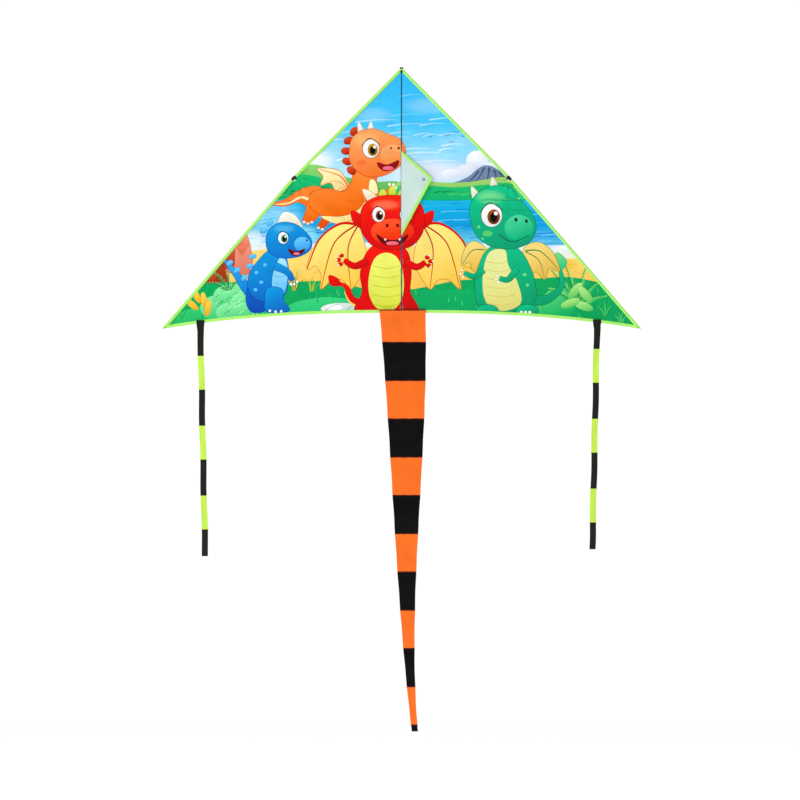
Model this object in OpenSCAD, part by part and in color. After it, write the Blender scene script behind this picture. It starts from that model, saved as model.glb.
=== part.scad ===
// Delta kite with a folding keel flap, a banded main tail and two ribbon tails.
// X runs to the right wing tip, Z up to the nose, and the front (keel side) faces -Y.
// The origin is the tip of the nose. The sail cloth lies in the plane Y = 0.

/* [Wing outline] */
// Distance between the two wing tips
wing_span = 1006; // [600:2:1500]
// Height from the nose down to the wing tips
wing_drop = 548; // [400:2:800]
// Distance from the centre line to each spreader fitting
knee_out = 228; // [120:2:330]
// Height from the nose down to the spreader fittings
knee_drop = 230; // [130:2:330]
// Height from the nose down to the middle of the trailing edge
trail_drop = 514; // [380:2:740]
// How late the trailing edge turns down towards the tips
trail_power = 2.5; // [1.5:0.1:4]

/* [Nose patch] */
// Length of the nose patch down the centre seam
nose_l = 14.9; // [12:0.1:20]
// Width of the tab on its front
nose_tab_w = 7; // [6:0.5:10]
// Length of that tab
nose_tab_l = 9.5; // [6:0.5:11]
// Thickness of that tab
nose_tab_t = 0.5; // [0.3:0.05:1]

/* [Cloth and tape] */
// Thickness of the sail cloth, with its coating
sail_t = 0.5; // [0.2:0.05:1]
// Thickness of one layer of edge tape
tape_t = 0.3; // [0.15:0.05:0.6]
// Width of the tape on the leading edges
lead_tape_w = 7.5; // [7.5:0.5:14]
// Width of the hem on the trailing edge
hem_w = 7; // [6:0.5:14]
// Depth that the cloth is tucked into a hem
tuck = 4; // [2:0.5:5]
// Half width of the centre seam, which stays on the spine
seam_half = 2.5; // [2.4:0.1:4]

/* [Rods] */
// Diameter of the leading edge spars
spar_d = 3; // [2:0.5:5]
// Diameter of the spine
spine_d = 3; // [2:0.5:5]
// Diameter of the spreader
spreader_d = 3; // [2:0.5:5]
// Gap left between the two spars inside a fitting
spar_joint_gap = 1.2; // [0.8:0.1:3]
// Distance along the leading edge from the nose to the spar
spar_start = 26; // [24:1:60]
// Gap between a spar's lower end and the wing tip
spar_end_gap = 7; // [5:0.5:20]
// Height from the nose to the top end of the spine
spine_top = 5; // [4:0.5:12]
// Gap between the spine's lower end and the trailing edge
spine_end_gap = 7; // [5:0.5:20]
// Length of the soft cap on each end of a spar
cap_l = 8; // [5:0.5:14]
// Thickness of the closed end of a cap
cap_end = 1.6; // [1:0.1:3]

/* [Spreader fittings] */
// Length of a fitting where it shows
fitting_l = 9; // [6:0.5:16]
// Wall of a fitting where it shows
fitting_wall = 1.9; // [1.2:0.1:3]
// Length of the ferrule that runs into the tape on each side
ferrule_l = 14; // [8:1:24]
// Wall of a ferrule
ferrule_wall = 0.55; // [0.4:0.05:0.6]
// Length of the trough that holds the end of the spreader
trough_l = 14; // [10:1:24]
// Wall of the trough
trough_wall = 1.4; // [1:0.1:3]
// Gap between the spreader's end and the end wall of the trough
spreader_end_gap = 2.5; // [2:0.1:5]
// Length of the gap cut in the leading edge tape for a fitting
cutout_l = 12; // [10:0.5:24]
// Depth of that gap from the edge of the wing
cutout_depth = 9.5; // [8:0.5:16]

/* [Keel flap] */
// Height from the nose down to the top of the keel
keel_top = 175; // [100:1:250]
// Height from the nose down to the bottom of the keel
keel_bottom = 352; // [260:1:460]
// Distance from the centre seam to the keel's point
keel_out = 65; // [40:1:120]
// Height from the nose down to the keel's point
keel_point_drop = 232; // [180:1:330]
// Thickness of the keel cloth
keel_t = 0.4; // [0.2:0.05:0.8]
// Extra gap between the folded keel and the sail
keel_loft = 0.25; // [0.25:0.05:1]
// Width of the tape on the keel's free edges
keel_tape_w = 5.5; // [5:0.5:12]
// Hole of the line eyelet
eyelet_bore_d = 3; // [2:0.1:5]
// Barrel of the line eyelet
eyelet_barrel_d = 4; // [3:0.1:7]
// Flange of the line eyelet
eyelet_flange_d = 5.6; // [4:0.1:9]
// Length of the eyelet through the cloth
eyelet_l = 1.6; // [1.2:0.1:3]
// Distance from the keel's point back to the eyelet
eyelet_back = 18; // [12:0.5:30]

/* [Main tail] */
// Number of panels in the main tail
tail_panels = 12; // [6:1:12]
// Length of the first panel, which is sewn on the hem
tail_first_l = 67.6; // [40:0.2:120]
// Length of each panel after the first
tail_panel_l = 80.2; // [40:0.2:120]
// Length of the last panel
tail_last_l = 13.4; // [8:0.2:60]
// Width at the top of the main tail
tail_top_w = 97; // [60:0.5:160]
// Width at the end of the main tail
tail_end_w = 13.5; // [6:0.5:40]
// How full the upper part of the main tail is
tail_full = 28; // [0:1:30]
// How far the sides of its lower part curve in
tail_waist = 80; // [0:1:90]
// How far the main tail overlaps the hem
tail_lap = 5.5; // [2:0.5:8]
// Offset of the tail's centre at its top
tail_top_x = 2; // [0:0.1:10]
// Offset of the tail's centre at its end
tail_end_x = 28; // [0:0.1:40]
// How far the tail's upper part sways to the right
tail_sway = 28; // [0:1:30]
// How far the tail's lower part sways back
tail_sway_back = 92; // [0:1:100]
// Thickness of the tail cloth
tail_t = 0.4; // [0.2:0.05:0.8]

/* [Ribbon tails] */
// Number of panels in each ribbon tail
ribbon_panels = 7; // [4:1:7]
// Length of the right ribbon's first panel below the hem
ribbon_first_right_l = 53; // [30:1:100]
// Length of the left ribbon's first panel below the hem
ribbon_first_left_l = 66; // [30:1:100]
// Length of each panel after the first
ribbon_panel_l = 73.2; // [40:0.2:100]
// Length of the last panel
ribbon_last_l = 55; // [20:1:100]
// Width of a ribbon tail
ribbon_w = 13; // [8:0.5:24]
// Width of its gathered top
ribbon_tab_w = 16; // [12:0.5:30]
// Distance from the centre line to the right ribbon at its top
ribbon_right_x = 410; // [200:1:450]
// Distance from the centre line to the left ribbon at its top
ribbon_left_x = 421.5; // [200:0.5:450]
// How far the ribbons lean in towards the centre at their ends
ribbon_lean = 10; // [0:1:20]
// How far a ribbon's top laps over the hem
ribbon_lap = 10; // [6:0.5:14]

/* [Fits] */
// Gap between pieces that move past each other
move_gap = 0.3; // [0.25:0.05:0.5]
// Radial gap of a rod in its fitting or cap
rod_fit = 0.08; // [0.05:0.01:0.2]
// Radial gap of a spar in its cloth sleeve
sleeve_fit = 0.8; // [0.75:0.05:1.5]
// Gap of cloth in the slot of a hem
slot_fit = 0.02; // [0.01:0.01:0.1]
// Gap of the spreader in its trough
trough_fit = 0.15; // [0.1:0.05:0.4]
// Gap between pieces that are seated on each other
seat_gap = 0.1; // [0.05:0.05:0.15]

/* [Hidden] */
$fn = 64;

eps = 0.01;
far = 2000;
lime = [0.70, 0.98, 0.50];
rod_white = [0.88, 0.90, 0.86];

// Cloth layers, from the back of the sail to the front of the keel
hem_t = sail_t + 2 * tape_t;
hem_front = -hem_t / 2;
fold_x = seam_half + 0.7;                   // wing fold line, clear of the seam
wing_in = fold_x + move_gap;                // inner edge of the wing cloth
tail_y = hem_front - move_gap - tail_t / 2;
keel_y = -(sail_t / 2 + move_gap + eyelet_l / 2 + keel_loft);
keel_tape_t = keel_t + 2 * tape_t;
ribbon_y = hem_t / 2 + tail_t / 2;

// Leading edge: nose to knee, then knee to tip
knee = [knee_out, -knee_drop];
tip = [wing_span / 2, -wing_drop];
upper_l = norm(knee);
lower_l = norm(tip - knee);
upper_turn = atan2(knee.x, knee.y);
lower_turn = atan2(tip.x - knee.x, tip.y - knee.y);
bend = lower_turn - upper_turn;
sleeve_bore = spar_d / 2 + sleeve_fit;
sleeve_r = sleeve_bore + tape_t + 0.1;
sleeve_start = spar_start - 5;
spar_axis = sleeve_r;                       // spar centre, in from the wing's edge
miter = spar_axis * tan(bend / 2);

// Fitting: where the centre lines of the two spars cross
mid_turn = (upper_turn + lower_turn) / 2;
fitting = knee + spar_axis / cos(bend / 2) * [cos(mid_turn), -sin(mid_turn)];
fitting_r = max(spar_d / 2 + rod_fit + fitting_wall, sleeve_r + 0.75);
trough_front = sleeve_r + 0.15;             // front of the trough, just behind the tape's tube
slot_depth = 2 * sleeve_r + 0.2;            // where the sail cloth ends inside the tape

// Spine and its sleeve, behind the centre seam
spine_bore = spine_d / 2 + rod_fit;
spine_sleeve_r = spine_bore + tape_t + 0.2;
spine_y = sail_t / 2 + spine_sleeve_r - 0.2;
trough_half = spreader_d / 2 + trough_fit;
spreader_y = max(spine_y + spine_sleeve_r + 2 * move_gap + spreader_d / 2,
    trough_front + trough_wall + trough_half);
spreader_reach = fitting.x - 1.5 - spreader_end_gap;

// Tails
tail_top_z = -trail_drop + tail_lap;
tail_l = tail_first_l + (tail_panels - 2) * tail_panel_l + tail_last_l;

function trail_z(x) = -trail_drop - (wing_drop - trail_drop) * pow(abs(x) * 2 / wing_span, trail_power);

// Distance down the main tail to the seam below panel i
function tail_seam(i) = i == 0 ? 0 : i == tail_panels ? tail_l : tail_first_l + (i - 1) * tail_panel_l;
function tail_width(s) = let (t = s / tail_l)
    tail_top_w - (tail_top_w - tail_end_w) * t + (tail_full - tail_waist * t) * t * (1 - t);
// The tail hangs with a slight drift to the right
function tail_x(s) = let (t = s / tail_l, drift = tail_end_x - tail_top_x)
    tail_top_x + drift * t + (tail_sway - tail_sway_back * t) * t * (1 - t);

// Ribbon tails hinge just below the hem
function ribbon_top(x) = trail_z(x + ribbon_tab_w / 2) - move_gap;
function ribbon_seam(i, first) = i == 0 ? 0 : i == ribbon_panels
    ? first + (i - 2) * ribbon_panel_l + ribbon_last_l : first + (i - 1) * ribbon_panel_l;
function ribbon_in(s, first) = ribbon_lean * s / ribbon_seam(ribbon_panels, first);

// A flat piece of thickness t centred on y, from an outline in X and Z
module sheet(t, y = 0) {
    translate([0, y + t / 2, 0]) rotate([90, 0, 0]) linear_extrude(t) children();
}

// Cuts a strip of width w from the right-hand side of the line from p to q, with some to spare outside
module cut_strip(p, q, w) {
    spare = 12;
    translate(p) rotate(atan2(q.y - p.y, q.x - p.x)) translate([-spare, -w])
        square([norm(q - p) + 2 * spare, w + spare]);
}

// The whole right wing, edge to edge
module wing_outline() {
    steps = 24;
    polygon(concat([[wing_in, -wing_in * knee_drop / knee_out], knee, tip],
        [for (i = [steps : -1 : 0]) let (x = wing_in + (tip.x - wing_in) * i / steps) [x, trail_z(x)]]));
}

// Everything above the trailing edge raised by up
module above_trail(up) {
    steps = 24;
    reach = tip.x + hem_w;
    polygon(concat([[0, 0], [reach, 0]],
        [for (i = [steps : -1 : 0]) let (x = reach * i / steps) [x, trail_z(x) + up]]));
}

module lead_strips(w) {
    cut_strip([0, 0], knee, w);
    cut_strip(knee, tip, w);
}

module fitting_cutout() {
    translate(knee) rotate(90 - mid_turn) translate([-cutout_l / 2, -cutout_depth])
        square([cutout_l, 2 * cutout_depth]);
}

// Sail cloth of the right wing, tucked into the tapes
module sail_shape() {
    difference() {
        intersection() {
            wing_outline();
            above_trail(tuck);
        }
        lead_strips(slot_depth);
        fitting_cutout();
    }
}

module sail() {
    color([0.25, 0.70, 0.85]) sheet(sail_t) sail_shape();
}

// Places children along the leading edge: Z down the edge, X into the wing
module along_upper() {
    rotate([0, upper_turn, 0]) children();
}

module along_lower() {
    translate([knee.x, 0, knee.y]) rotate([0, lower_turn, 0]) children();
}

module rod_on_edge(r, from, to) {
    translate([spar_axis, 0, from]) cylinder(r = r, h = to - from);
}

// Edge tape from one distance to another, with its tube from tube_from to tube_to
module sleeve_run(from, to, tube_from, tube_to, bore_from, bore_to) {
    slot_t = sail_t + 2 * slot_fit;
    difference() {
        union() {
            translate([spar_axis, -hem_t / 2, from]) cube([lead_tape_w - spar_axis, hem_t, to - from]);
            rod_on_edge(sleeve_r, tube_from, tube_to);
        }
        translate([slot_depth, -slot_t / 2, from - 1]) cube([lead_tape_w, slot_t, to - from + 2]);
        rod_on_edge(sleeve_bore, bore_from, bore_to);
    }
}

module leading_sleeve() {
    half_gap = cutout_l / 2;
    upper_end = upper_l - half_gap;
    color(lime) {
        difference() {
            along_upper() sleeve_run(0, upper_end, sleeve_start, upper_end, sleeve_start + 1.5, upper_l);
            translate([wing_in - far, -far / 2, -far / 2]) cube([far, far, far]);
        }
        along_lower() sleeve_run(half_gap, lower_l, half_gap, lower_l, 0, lower_l - 2);
    }
}

module trailing_hem() {
    color(lime) difference() {
        sheet(hem_t) difference() {
            wing_outline();
            above_trail(hem_w);
            lead_strips(lead_tape_w + eps);
        }
        sheet(sail_t + 2 * slot_fit) above_trail(tuck);
    }
}

// Two straight rods on each side, which meet at a slight angle inside the fitting
module upper_spar() {
    color(rod_white) along_upper()
        rod_on_edge(spar_d / 2, spar_start, upper_l - miter - spar_joint_gap / 2);
}

module lower_spar() {
    color(rod_white) along_lower()
        rod_on_edge(spar_d / 2, miter + spar_joint_gap / 2, lower_l - spar_end_gap);
}

// A soft cap with its closed end at z = 0 and its mouth up
module spar_cap() {
    difference() {
        cylinder(r = sleeve_bore - seat_gap, h = cap_l);
        translate([0, 0, cap_end]) cylinder(r = spar_d / 2 + rod_fit, h = cap_l);
    }
}

module spar_caps() {
    color([0.12, 0.12, 0.13]) {
        along_upper() translate([spar_axis, 0, spar_start - cap_end - seat_gap]) spar_cap();
        along_lower() translate([spar_axis, 0, lower_l - spar_end_gap + cap_end + seat_gap])
            mirror([0, 0, 1]) spar_cap();
    }
}

// A short tube that both spars push into, with a trough behind it for the spreader.
// The trough is open to the back, so that the spreader can be lifted out.
module spreader_fitting() {
    back = spreader_y + trough_half + 0.3;
    half_z = trough_half + trough_wall;
    bore_r = spar_d / 2 + rod_fit;
    web = ferrule_wall;
    half = fitting_l / 2 + ferrule_l;
    color([0.09, 0.09, 0.10]) difference() {
        union() {
            translate([fitting.x, 0, fitting.y]) rotate([0, mid_turn, 0])
                cylinder(r = fitting_r, h = fitting_l, center = true);
            along_upper() rod_on_edge(bore_r + ferrule_wall, upper_l - miter - half, upper_l - miter);
            along_lower() rod_on_edge(bore_r + ferrule_wall, miter, miter + half);
            translate([fitting.x - trough_l, trough_front, fitting.y - half_z])
                cube([trough_l + 2, back - trough_front, 2 * half_z]);
        }
        along_upper() rod_on_edge(bore_r, upper_l - miter - 2 * half, upper_l - miter - web / 2);
        along_lower() rod_on_edge(bore_r, miter + web / 2, miter + 2 * half);
        translate([fitting.x - trough_l - 1, spreader_y, fitting.y - trough_half])
            cube([trough_l - 0.5, back, 2 * trough_half]);
        translate([fitting.x - trough_l - 1, spreader_y, fitting.y]) rotate([0, 90, 0])
            cylinder(r = trough_half, h = trough_l - 0.5);
    }
}

module spreader_rod() {
    color(rod_white) translate([-spreader_reach, spreader_y, fitting.y]) rotate([0, 90, 0])
        cylinder(d = spreader_d, h = 2 * spreader_reach);
}

// The flat centre seam of the sail with a tube behind it, closed at the bottom
module spine_sleeve() {
    top = nose_l + seat_gap;
    color(lime) difference() {
        union() {
            translate([-seam_half, -sail_t / 2, -trail_drop])
                cube([2 * seam_half, sail_t, trail_drop - top]);
            translate([-seam_half, tail_y + tail_t / 2, -trail_drop])
                cube([2 * seam_half, -tail_y, hem_w + tuck]);
            translate([0, spine_y, -trail_drop]) cylinder(r = spine_sleeve_r, h = trail_drop - top);
        }
        translate([0, spine_y, -trail_drop + 2]) cylinder(r = spine_bore, h = trail_drop);
    }
}

module spine_rod() {
    color(rod_white) translate([0, spine_y, -trail_drop + spine_end_gap])
        cylinder(d = spine_d, h = trail_drop - spine_end_gap - spine_top);
}

// Woven pocket over the nose: a front tab and a socket for the top of the spine
module nose_patch() {
    front = hem_front - move_gap;
    back = spine_y + spine_sleeve_r;
    color([0.10, 0.16, 0.12]) difference() {
        union() {
            translate([-nose_tab_w / 2, front - nose_tab_t, -nose_tab_l - 1])
                cube([nose_tab_w, nose_tab_t, nose_tab_l]);
            translate([-seam_half, front - seat_gap, -nose_l])
                cube([2 * seam_half, back - front + seat_gap, nose_l]);
        }
        translate([0, spine_y, -2 * nose_l]) cylinder(r = spine_bore, h = 2 * nose_l - spine_top + 0.2);
    }
}

// Keel flap, folded flat against the front of the right wing
keel_a = [0.5, -keel_top];
keel_b = [keel_out, -keel_point_drop];
keel_c = [0.5, -keel_bottom];
eyelet = [keel_out - eyelet_back, -keel_point_drop - 2.8];

module keel_shape(inset) {
    difference() {
        polygon([keel_a, keel_b, keel_c]);
        if (inset > 0) {
            cut_strip(keel_a, keel_b, inset);
            cut_strip(keel_b, keel_c, inset);
        }
    }
}

module keel_panel() {
    color([0.88, 0.92, 0.97, 0.8]) difference() {
        sheet(keel_t, keel_y) keel_shape(tuck);
        translate([eyelet.x, keel_y, eyelet.y]) rotate([90, 0, 0])
            cylinder(d = eyelet_barrel_d, h = 4, center = true);
    }
}

module keel_tape() {
    color(lime) difference() {
        sheet(keel_tape_t, keel_y) difference() {
            keel_shape(0);
            keel_shape(keel_tape_w);
        }
        sheet(keel_t + 2 * slot_fit, keel_y) keel_shape(tuck);
    }
}

module keel_eyelet() {
    flange = (eyelet_l - keel_t) / 2;
    color([0.45, 0.46, 0.48]) translate([eyelet.x, keel_y, eyelet.y]) rotate([90, 0, 0]) difference() {
        union() {
            cylinder(d = eyelet_barrel_d, h = eyelet_l, center = true);
            translate([0, 0, keel_t / 2]) cylinder(d = eyelet_flange_d, h = flange);
            translate([0, 0, -keel_t / 2 - flange]) cylinder(d = eyelet_flange_d, h = flange);
        }
        cylinder(d = eyelet_bore_d, h = 2 * eyelet_l, center = true);
    }
}

module main_tail_panel(i) {
    top = tail_seam(i - 1);
    end = tail_seam(i);
    top_gap = i == 1 ? 0 : move_gap / 2;
    end_gap = i == tail_panels ? 0 : move_gap / 2;
    color(i % 2 == 1 ? [1.0, 0.50, 0.20] : [0.08, 0.06, 0.08]) sheet(tail_t, tail_y)
        polygon([
            [tail_x(top) - tail_width(top) / 2, tail_top_z - top - top_gap],
            [tail_x(top) + tail_width(top) / 2, tail_top_z - top - top_gap],
            [tail_x(end) + tail_width(end) / 2, tail_top_z - end + end_gap],
            [tail_x(end) - tail_width(end) / 2, tail_top_z - end + end_gap]]);
}

// Ribbon tails, sewn on the front of the hem: side is 1 for the right one and -1 for the left one
module ribbon_tab(side) {
    x = side > 0 ? ribbon_right_x : ribbon_left_x;
    top = ribbon_top(x);
    color([0.10, 0.12, 0.08]) scale([side, 1, 1]) sheet(tail_t, -ribbon_y)
        translate([x - ribbon_tab_w / 2, top]) square([ribbon_tab_w, ribbon_lap]);
}

module ribbon_panel(side, i) {
    x = side > 0 ? ribbon_right_x : ribbon_left_x;
    first = side > 0 ? ribbon_first_right_l : ribbon_first_left_l;
    top = ribbon_seam(i - 1, first);
    end = ribbon_seam(i, first);
    end_gap = i == ribbon_panels ? 0 : move_gap / 2;
    color(i % 2 == 1 ? [0.10, 0.12, 0.08] : [0.72, 0.92, 0.30]) scale([side, 1, 1])
        sheet(tail_t, -ribbon_y) polygon([
            [x - ribbon_in(top, first) - ribbon_w / 2, ribbon_top(x) - top - move_gap / 2],
            [x - ribbon_in(top, first) + ribbon_w / 2, ribbon_top(x) - top - move_gap / 2],
            [x - ribbon_in(end, first) + ribbon_w / 2, ribbon_top(x) - end + end_gap],
            [x - ribbon_in(end, first) - ribbon_w / 2, ribbon_top(x) - end + end_gap]]);
}

module left() {
    mirror([1, 0, 0]) children();
}

sail();  // sail_right
left() sail();  // sail_left
leading_sleeve();  // leading_sleeve_right
left() leading_sleeve();  // leading_sleeve_left
trailing_hem();  // trailing_hem_right
left() trailing_hem();  // trailing_hem_left
upper_spar();  // upper_spar_right
left() upper_spar();  // upper_spar_left
lower_spar();  // lower_spar_right
left() lower_spar();  // lower_spar_left
spar_caps();  // spar_caps_right
left() spar_caps();  // spar_caps_left
spreader_fitting();  // spreader_fitting_right
left() spreader_fitting();  // spreader_fitting_left
spreader_rod();
spine_sleeve();
spine_rod();
nose_patch();
keel_panel();
keel_tape();
keel_eyelet();
ribbon_tab(1);  // ribbon_tab_right
ribbon_tab(-1);  // ribbon_tab_left
for (i = [1 : tail_panels])
    main_tail_panel(i);
for (i = [1 : ribbon_panels]) {
    ribbon_panel(1, i);
    ribbon_panel(-1, i);
}
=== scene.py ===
import math
import random

import bpy
import numpy as np
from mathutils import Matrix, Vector
from mathutils.geometry import delaunay_2d_cdt


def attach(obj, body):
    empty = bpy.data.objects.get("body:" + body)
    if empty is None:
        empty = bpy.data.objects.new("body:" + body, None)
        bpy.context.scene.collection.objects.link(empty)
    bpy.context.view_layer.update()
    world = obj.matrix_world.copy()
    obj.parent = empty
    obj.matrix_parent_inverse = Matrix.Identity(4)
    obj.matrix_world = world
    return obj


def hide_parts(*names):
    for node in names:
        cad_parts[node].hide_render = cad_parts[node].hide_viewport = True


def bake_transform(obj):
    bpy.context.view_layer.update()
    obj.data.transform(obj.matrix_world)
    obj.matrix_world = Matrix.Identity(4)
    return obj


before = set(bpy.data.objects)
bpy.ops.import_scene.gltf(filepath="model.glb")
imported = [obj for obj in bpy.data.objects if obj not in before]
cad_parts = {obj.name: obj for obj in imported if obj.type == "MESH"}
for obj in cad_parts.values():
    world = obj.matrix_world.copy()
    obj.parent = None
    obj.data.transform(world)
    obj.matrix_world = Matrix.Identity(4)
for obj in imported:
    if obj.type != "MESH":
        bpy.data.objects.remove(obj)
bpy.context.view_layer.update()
bpy.ops.object.select_all(action="DESELECT")


# ---------------------------------------------------------------- Studio
# The kite hangs nose up in front of a camera with a long lens. The room is white,
# with a soft lamp to the upper left, a weaker one to the right and one behind the sail.
CAMERA_DISTANCE = 12.0
CAMERA_X, CAMERA_Z = -0.0031, -0.6969
SENSOR = 36
VIEW_WIDTH = 1.6768
bpy.ops.object.camera_add(location=(CAMERA_X, -CAMERA_DISTANCE, CAMERA_Z), rotation=(math.pi / 2, 0, 0))
camera = bpy.context.object
camera.data.sensor_width = SENSOR
camera.data.lens = SENSOR * CAMERA_DISTANCE / VIEW_WIDTH
camera.data.clip_end = 100
bpy.context.scene.camera = camera
bpy.context.scene.view_settings.view_transform = "Standard"


def new_material(name):
    material = bpy.data.materials.new(name)
    material.use_nodes = True
    return material, material.node_tree, material.node_tree.nodes["Principled BSDF"]


def node(tree, kind, inputs=None, **settings):
    made = tree.nodes.new("ShaderNode" + kind)
    for key, value in settings.items():
        setattr(made, key, value)
    for key, value in (inputs or {}).items():
        if isinstance(value, bpy.types.NodeSocket):
            tree.links.new(value, made.inputs[key])
        else:
            made.inputs[key].default_value = value
    return made


def tint(red, green, blue):
    """A screen colour from 0 to 255 as linear light."""
    return tuple(float(c) for c in linear(np.array([red, green, blue]) / 255))


def linear(screen):
    return np.where(screen <= 0.04045, screen / 12.92, ((screen + 0.055) / 1.055) ** 2.4)


bpy.ops.mesh.primitive_plane_add(size=9, location=(0, 0, -1.62))
floor = bpy.context.object
floor.name = "studio_floor"
floor_paint, floor_tree, floor_shader = new_material("studio floor")
speckle = node(floor_tree, "TexNoise", {"Scale": 3.0,
                                        "Vector": node(floor_tree, "TexCoord").outputs["Object"]})
floor_shade = node(floor_tree, "MapRange", {"Value": speckle.outputs[0], "To Min": 0.93, "To Max": 0.96})
floor_tree.links.new(floor_shade.outputs[0], floor_shader.inputs["Base Color"])
floor_shader.inputs["Roughness"].default_value = 0.8
floor_shader.inputs["Emission Color"].default_value = (1, 1, 1, 1)
floor_shader.inputs["Emission Strength"].default_value = 0.5
floor.data.materials.append(floor_paint)

# Each lamp's place, power in watts and size
LAMPS = (((-2.5, -1.9, 0.8), 46, 1.3), ((2.0, -2.4, -0.2), 10, 2.0), ((0.3, 2.4, 0.4), 14, 2.0))
for place, power, size in LAMPS:
    bpy.ops.object.light_add(type="AREA", location=place)
    lamp = bpy.context.object
    lamp.data.energy = power
    lamp.data.size = size
    aim = Vector((0, 0, -0.5)) - Vector(place)
    lamp.rotation_euler = aim.to_track_quat("-Z", "Y").to_euler()

room = bpy.data.worlds.new("white room")
room.use_nodes = True
bpy.context.scene.world = room
room_tree = room.node_tree
room_tree.nodes.clear()
seen = node(room_tree, "Background", {"Color": (1, 1, 1, 1), "Strength": 1.02})
cast = node(room_tree, "Background", {"Color": (0.97, 0.985, 1, 1), "Strength": 0.5})
which = node(room_tree, "MixShader", {0: node(room_tree, "LightPath").outputs["Is Camera Ray"],
                                      1: cast.outputs[0], 2: seen.outputs[0]})
node(room_tree, "OutputWorld", {"Surface": which.outputs[0]})


# ---------------------------------------------------------------- Rods
# The spine, the two spars on each side and the spreader are pultruded glass fibre rod,
# 3 mm thick, pale and glossy, with fine lengthwise fibres.
def paint(nodes, material):
    for name in nodes:
        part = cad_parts[name]
        part.data.materials.clear()
        part.data.materials.append(material)


def moulded(name, colour, roughness, grain, grain_scale, along=(1, 1, 1), **more):
    """A hard finish with mottling and a fine grain, on the piece's own coordinates."""
    material, tree, shader = new_material(name)
    place = node(tree, "Mapping", {"Vector": node(tree, "TexCoord").outputs["Object"], "Scale": along})
    fine = node(tree, "TexNoise", {"Vector": place.outputs[0], "Scale": grain_scale, "Detail": 4.0})
    broad = node(tree, "TexNoise", {"Vector": place.outputs[0], "Scale": grain_scale / 9, "Detail": 2.0})
    shade = node(tree, "MapRange", {"Value": broad.outputs[0], "From Min": 0.3, "From Max": 0.7,
                                    "To Min": 0.0, "To Max": 1.0})
    dark = tuple(c * 0.78 for c in colour) + (1,)
    mixed = node(tree, "MixRGB", {0: shade.outputs[0], 1: dark, 2: tuple(colour) + (1,)})
    tree.links.new(mixed.outputs[0], shader.inputs["Base Color"])
    rough = node(tree, "MapRange", {"Value": fine.outputs[0], "To Min": roughness - 0.08,
                                    "To Max": roughness + 0.08})
    tree.links.new(rough.outputs[0], shader.inputs["Roughness"])
    bump = node(tree, "Bump", {"Height": fine.outputs[0], "Strength": grain, "Distance": 0.0002})
    tree.links.new(bump.outputs[0], shader.inputs["Normal"])
    for socket, value in more.items():
        shader.inputs[socket.replace("_", " ")].default_value = value
    return material


rod_finish = moulded("glass fibre rod", tint(226, 230, 214), 0.3, 0.25, 1800, (1, 1, 0.04), Coat_Weight=0.3)
cross_finish = moulded("glass fibre cross rod", tint(226, 230, 214), 0.3, 0.25, 1800, (0.04, 1, 1),
                       Coat_Weight=0.3)
paint(["spine_rod", "upper_spar_right", "upper_spar_left", "lower_spar_right", "lower_spar_left"], rod_finish)
paint(["spreader_rod"], cross_finish)


# ---------------------------------------------------------------- Caps, fittings and eyelet
# Soft vinyl caps close the spars' ends. A moulded black fitting joins the two spars on each
# side and carries the trough for the spreader. The line eyelet is rolled plated brass.
vinyl = moulded("black vinyl", tint(30, 30, 33), 0.5, 0.5, 900, Specular_IOR_Level=0.45)
paint(["spar_caps_right", "spar_caps_left", "spreader_fitting_right", "spreader_fitting_left"], vinyl)
plate = moulded("plated eyelet", tint(150, 152, 158), 0.34, 0.2, 2500, Metallic=1.0)
paint(["keel_eyelet"], plate)


# ---------------------------------------------------------------- Sails
# Each wing is one cut of thin printed polyester, stretched between the spine and the spars.
# It holds a shallow billow, fans of small creases at the fittings, and a free trailing edge.
HALF_SPAN = 0.503
WING_DROP = 0.548
KNEE = np.array([0.228, -0.230])
TIP = np.array([HALF_SPAN, -WING_DROP])
TRAIL_DROP = 0.514
TRAIL_POWER = 2.5
SAIL_TUCK = 0.004
FITTING_HALF_GAP = 0.006
FITTING_GAP_DEPTH = 0.0085
CLOTH_THICKNESS = 0.0003
CLOTH_STEP = 0.010              # spacing of the simulated cloth
CLOTH_COLUMNS, CLOTH_ROWS = 53, 58
CLOTH_FRAMES = 30
BILLOW_LIMIT = 0.0042           # the deepest that the simulated billow may stand
ROOM_MIDDLE, ROOM_HALF = 0.0018, 0.0026     # the room between the keel flap and the spreader


def trail_z(x):
    return -TRAIL_DROP - (WING_DROP - TRAIL_DROP) * (np.abs(x) / HALF_SPAN) ** TRAIL_POWER


UPPER_RUN = KNEE / np.linalg.norm(KNEE)
LOWER_RUN = (TIP - KNEE) / np.linalg.norm(TIP - KNEE)
UPPER_LENGTH = float(np.linalg.norm(KNEE))
LOWER_LENGTH = float(np.linalg.norm(TIP - KNEE))


def inward(run):
    return np.array([run[1], -run[0]])


def edge_x(z):
    """Where the leading edge is at a height z."""
    z = np.asarray(z, float)
    upper = z / KNEE[1] * KNEE[0]
    lower = KNEE[0] + (z - KNEE[1]) / (TIP[1] - KNEE[1]) * (TIP[0] - KNEE[0])
    return np.where(z > KNEE[1], upper, lower)


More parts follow.
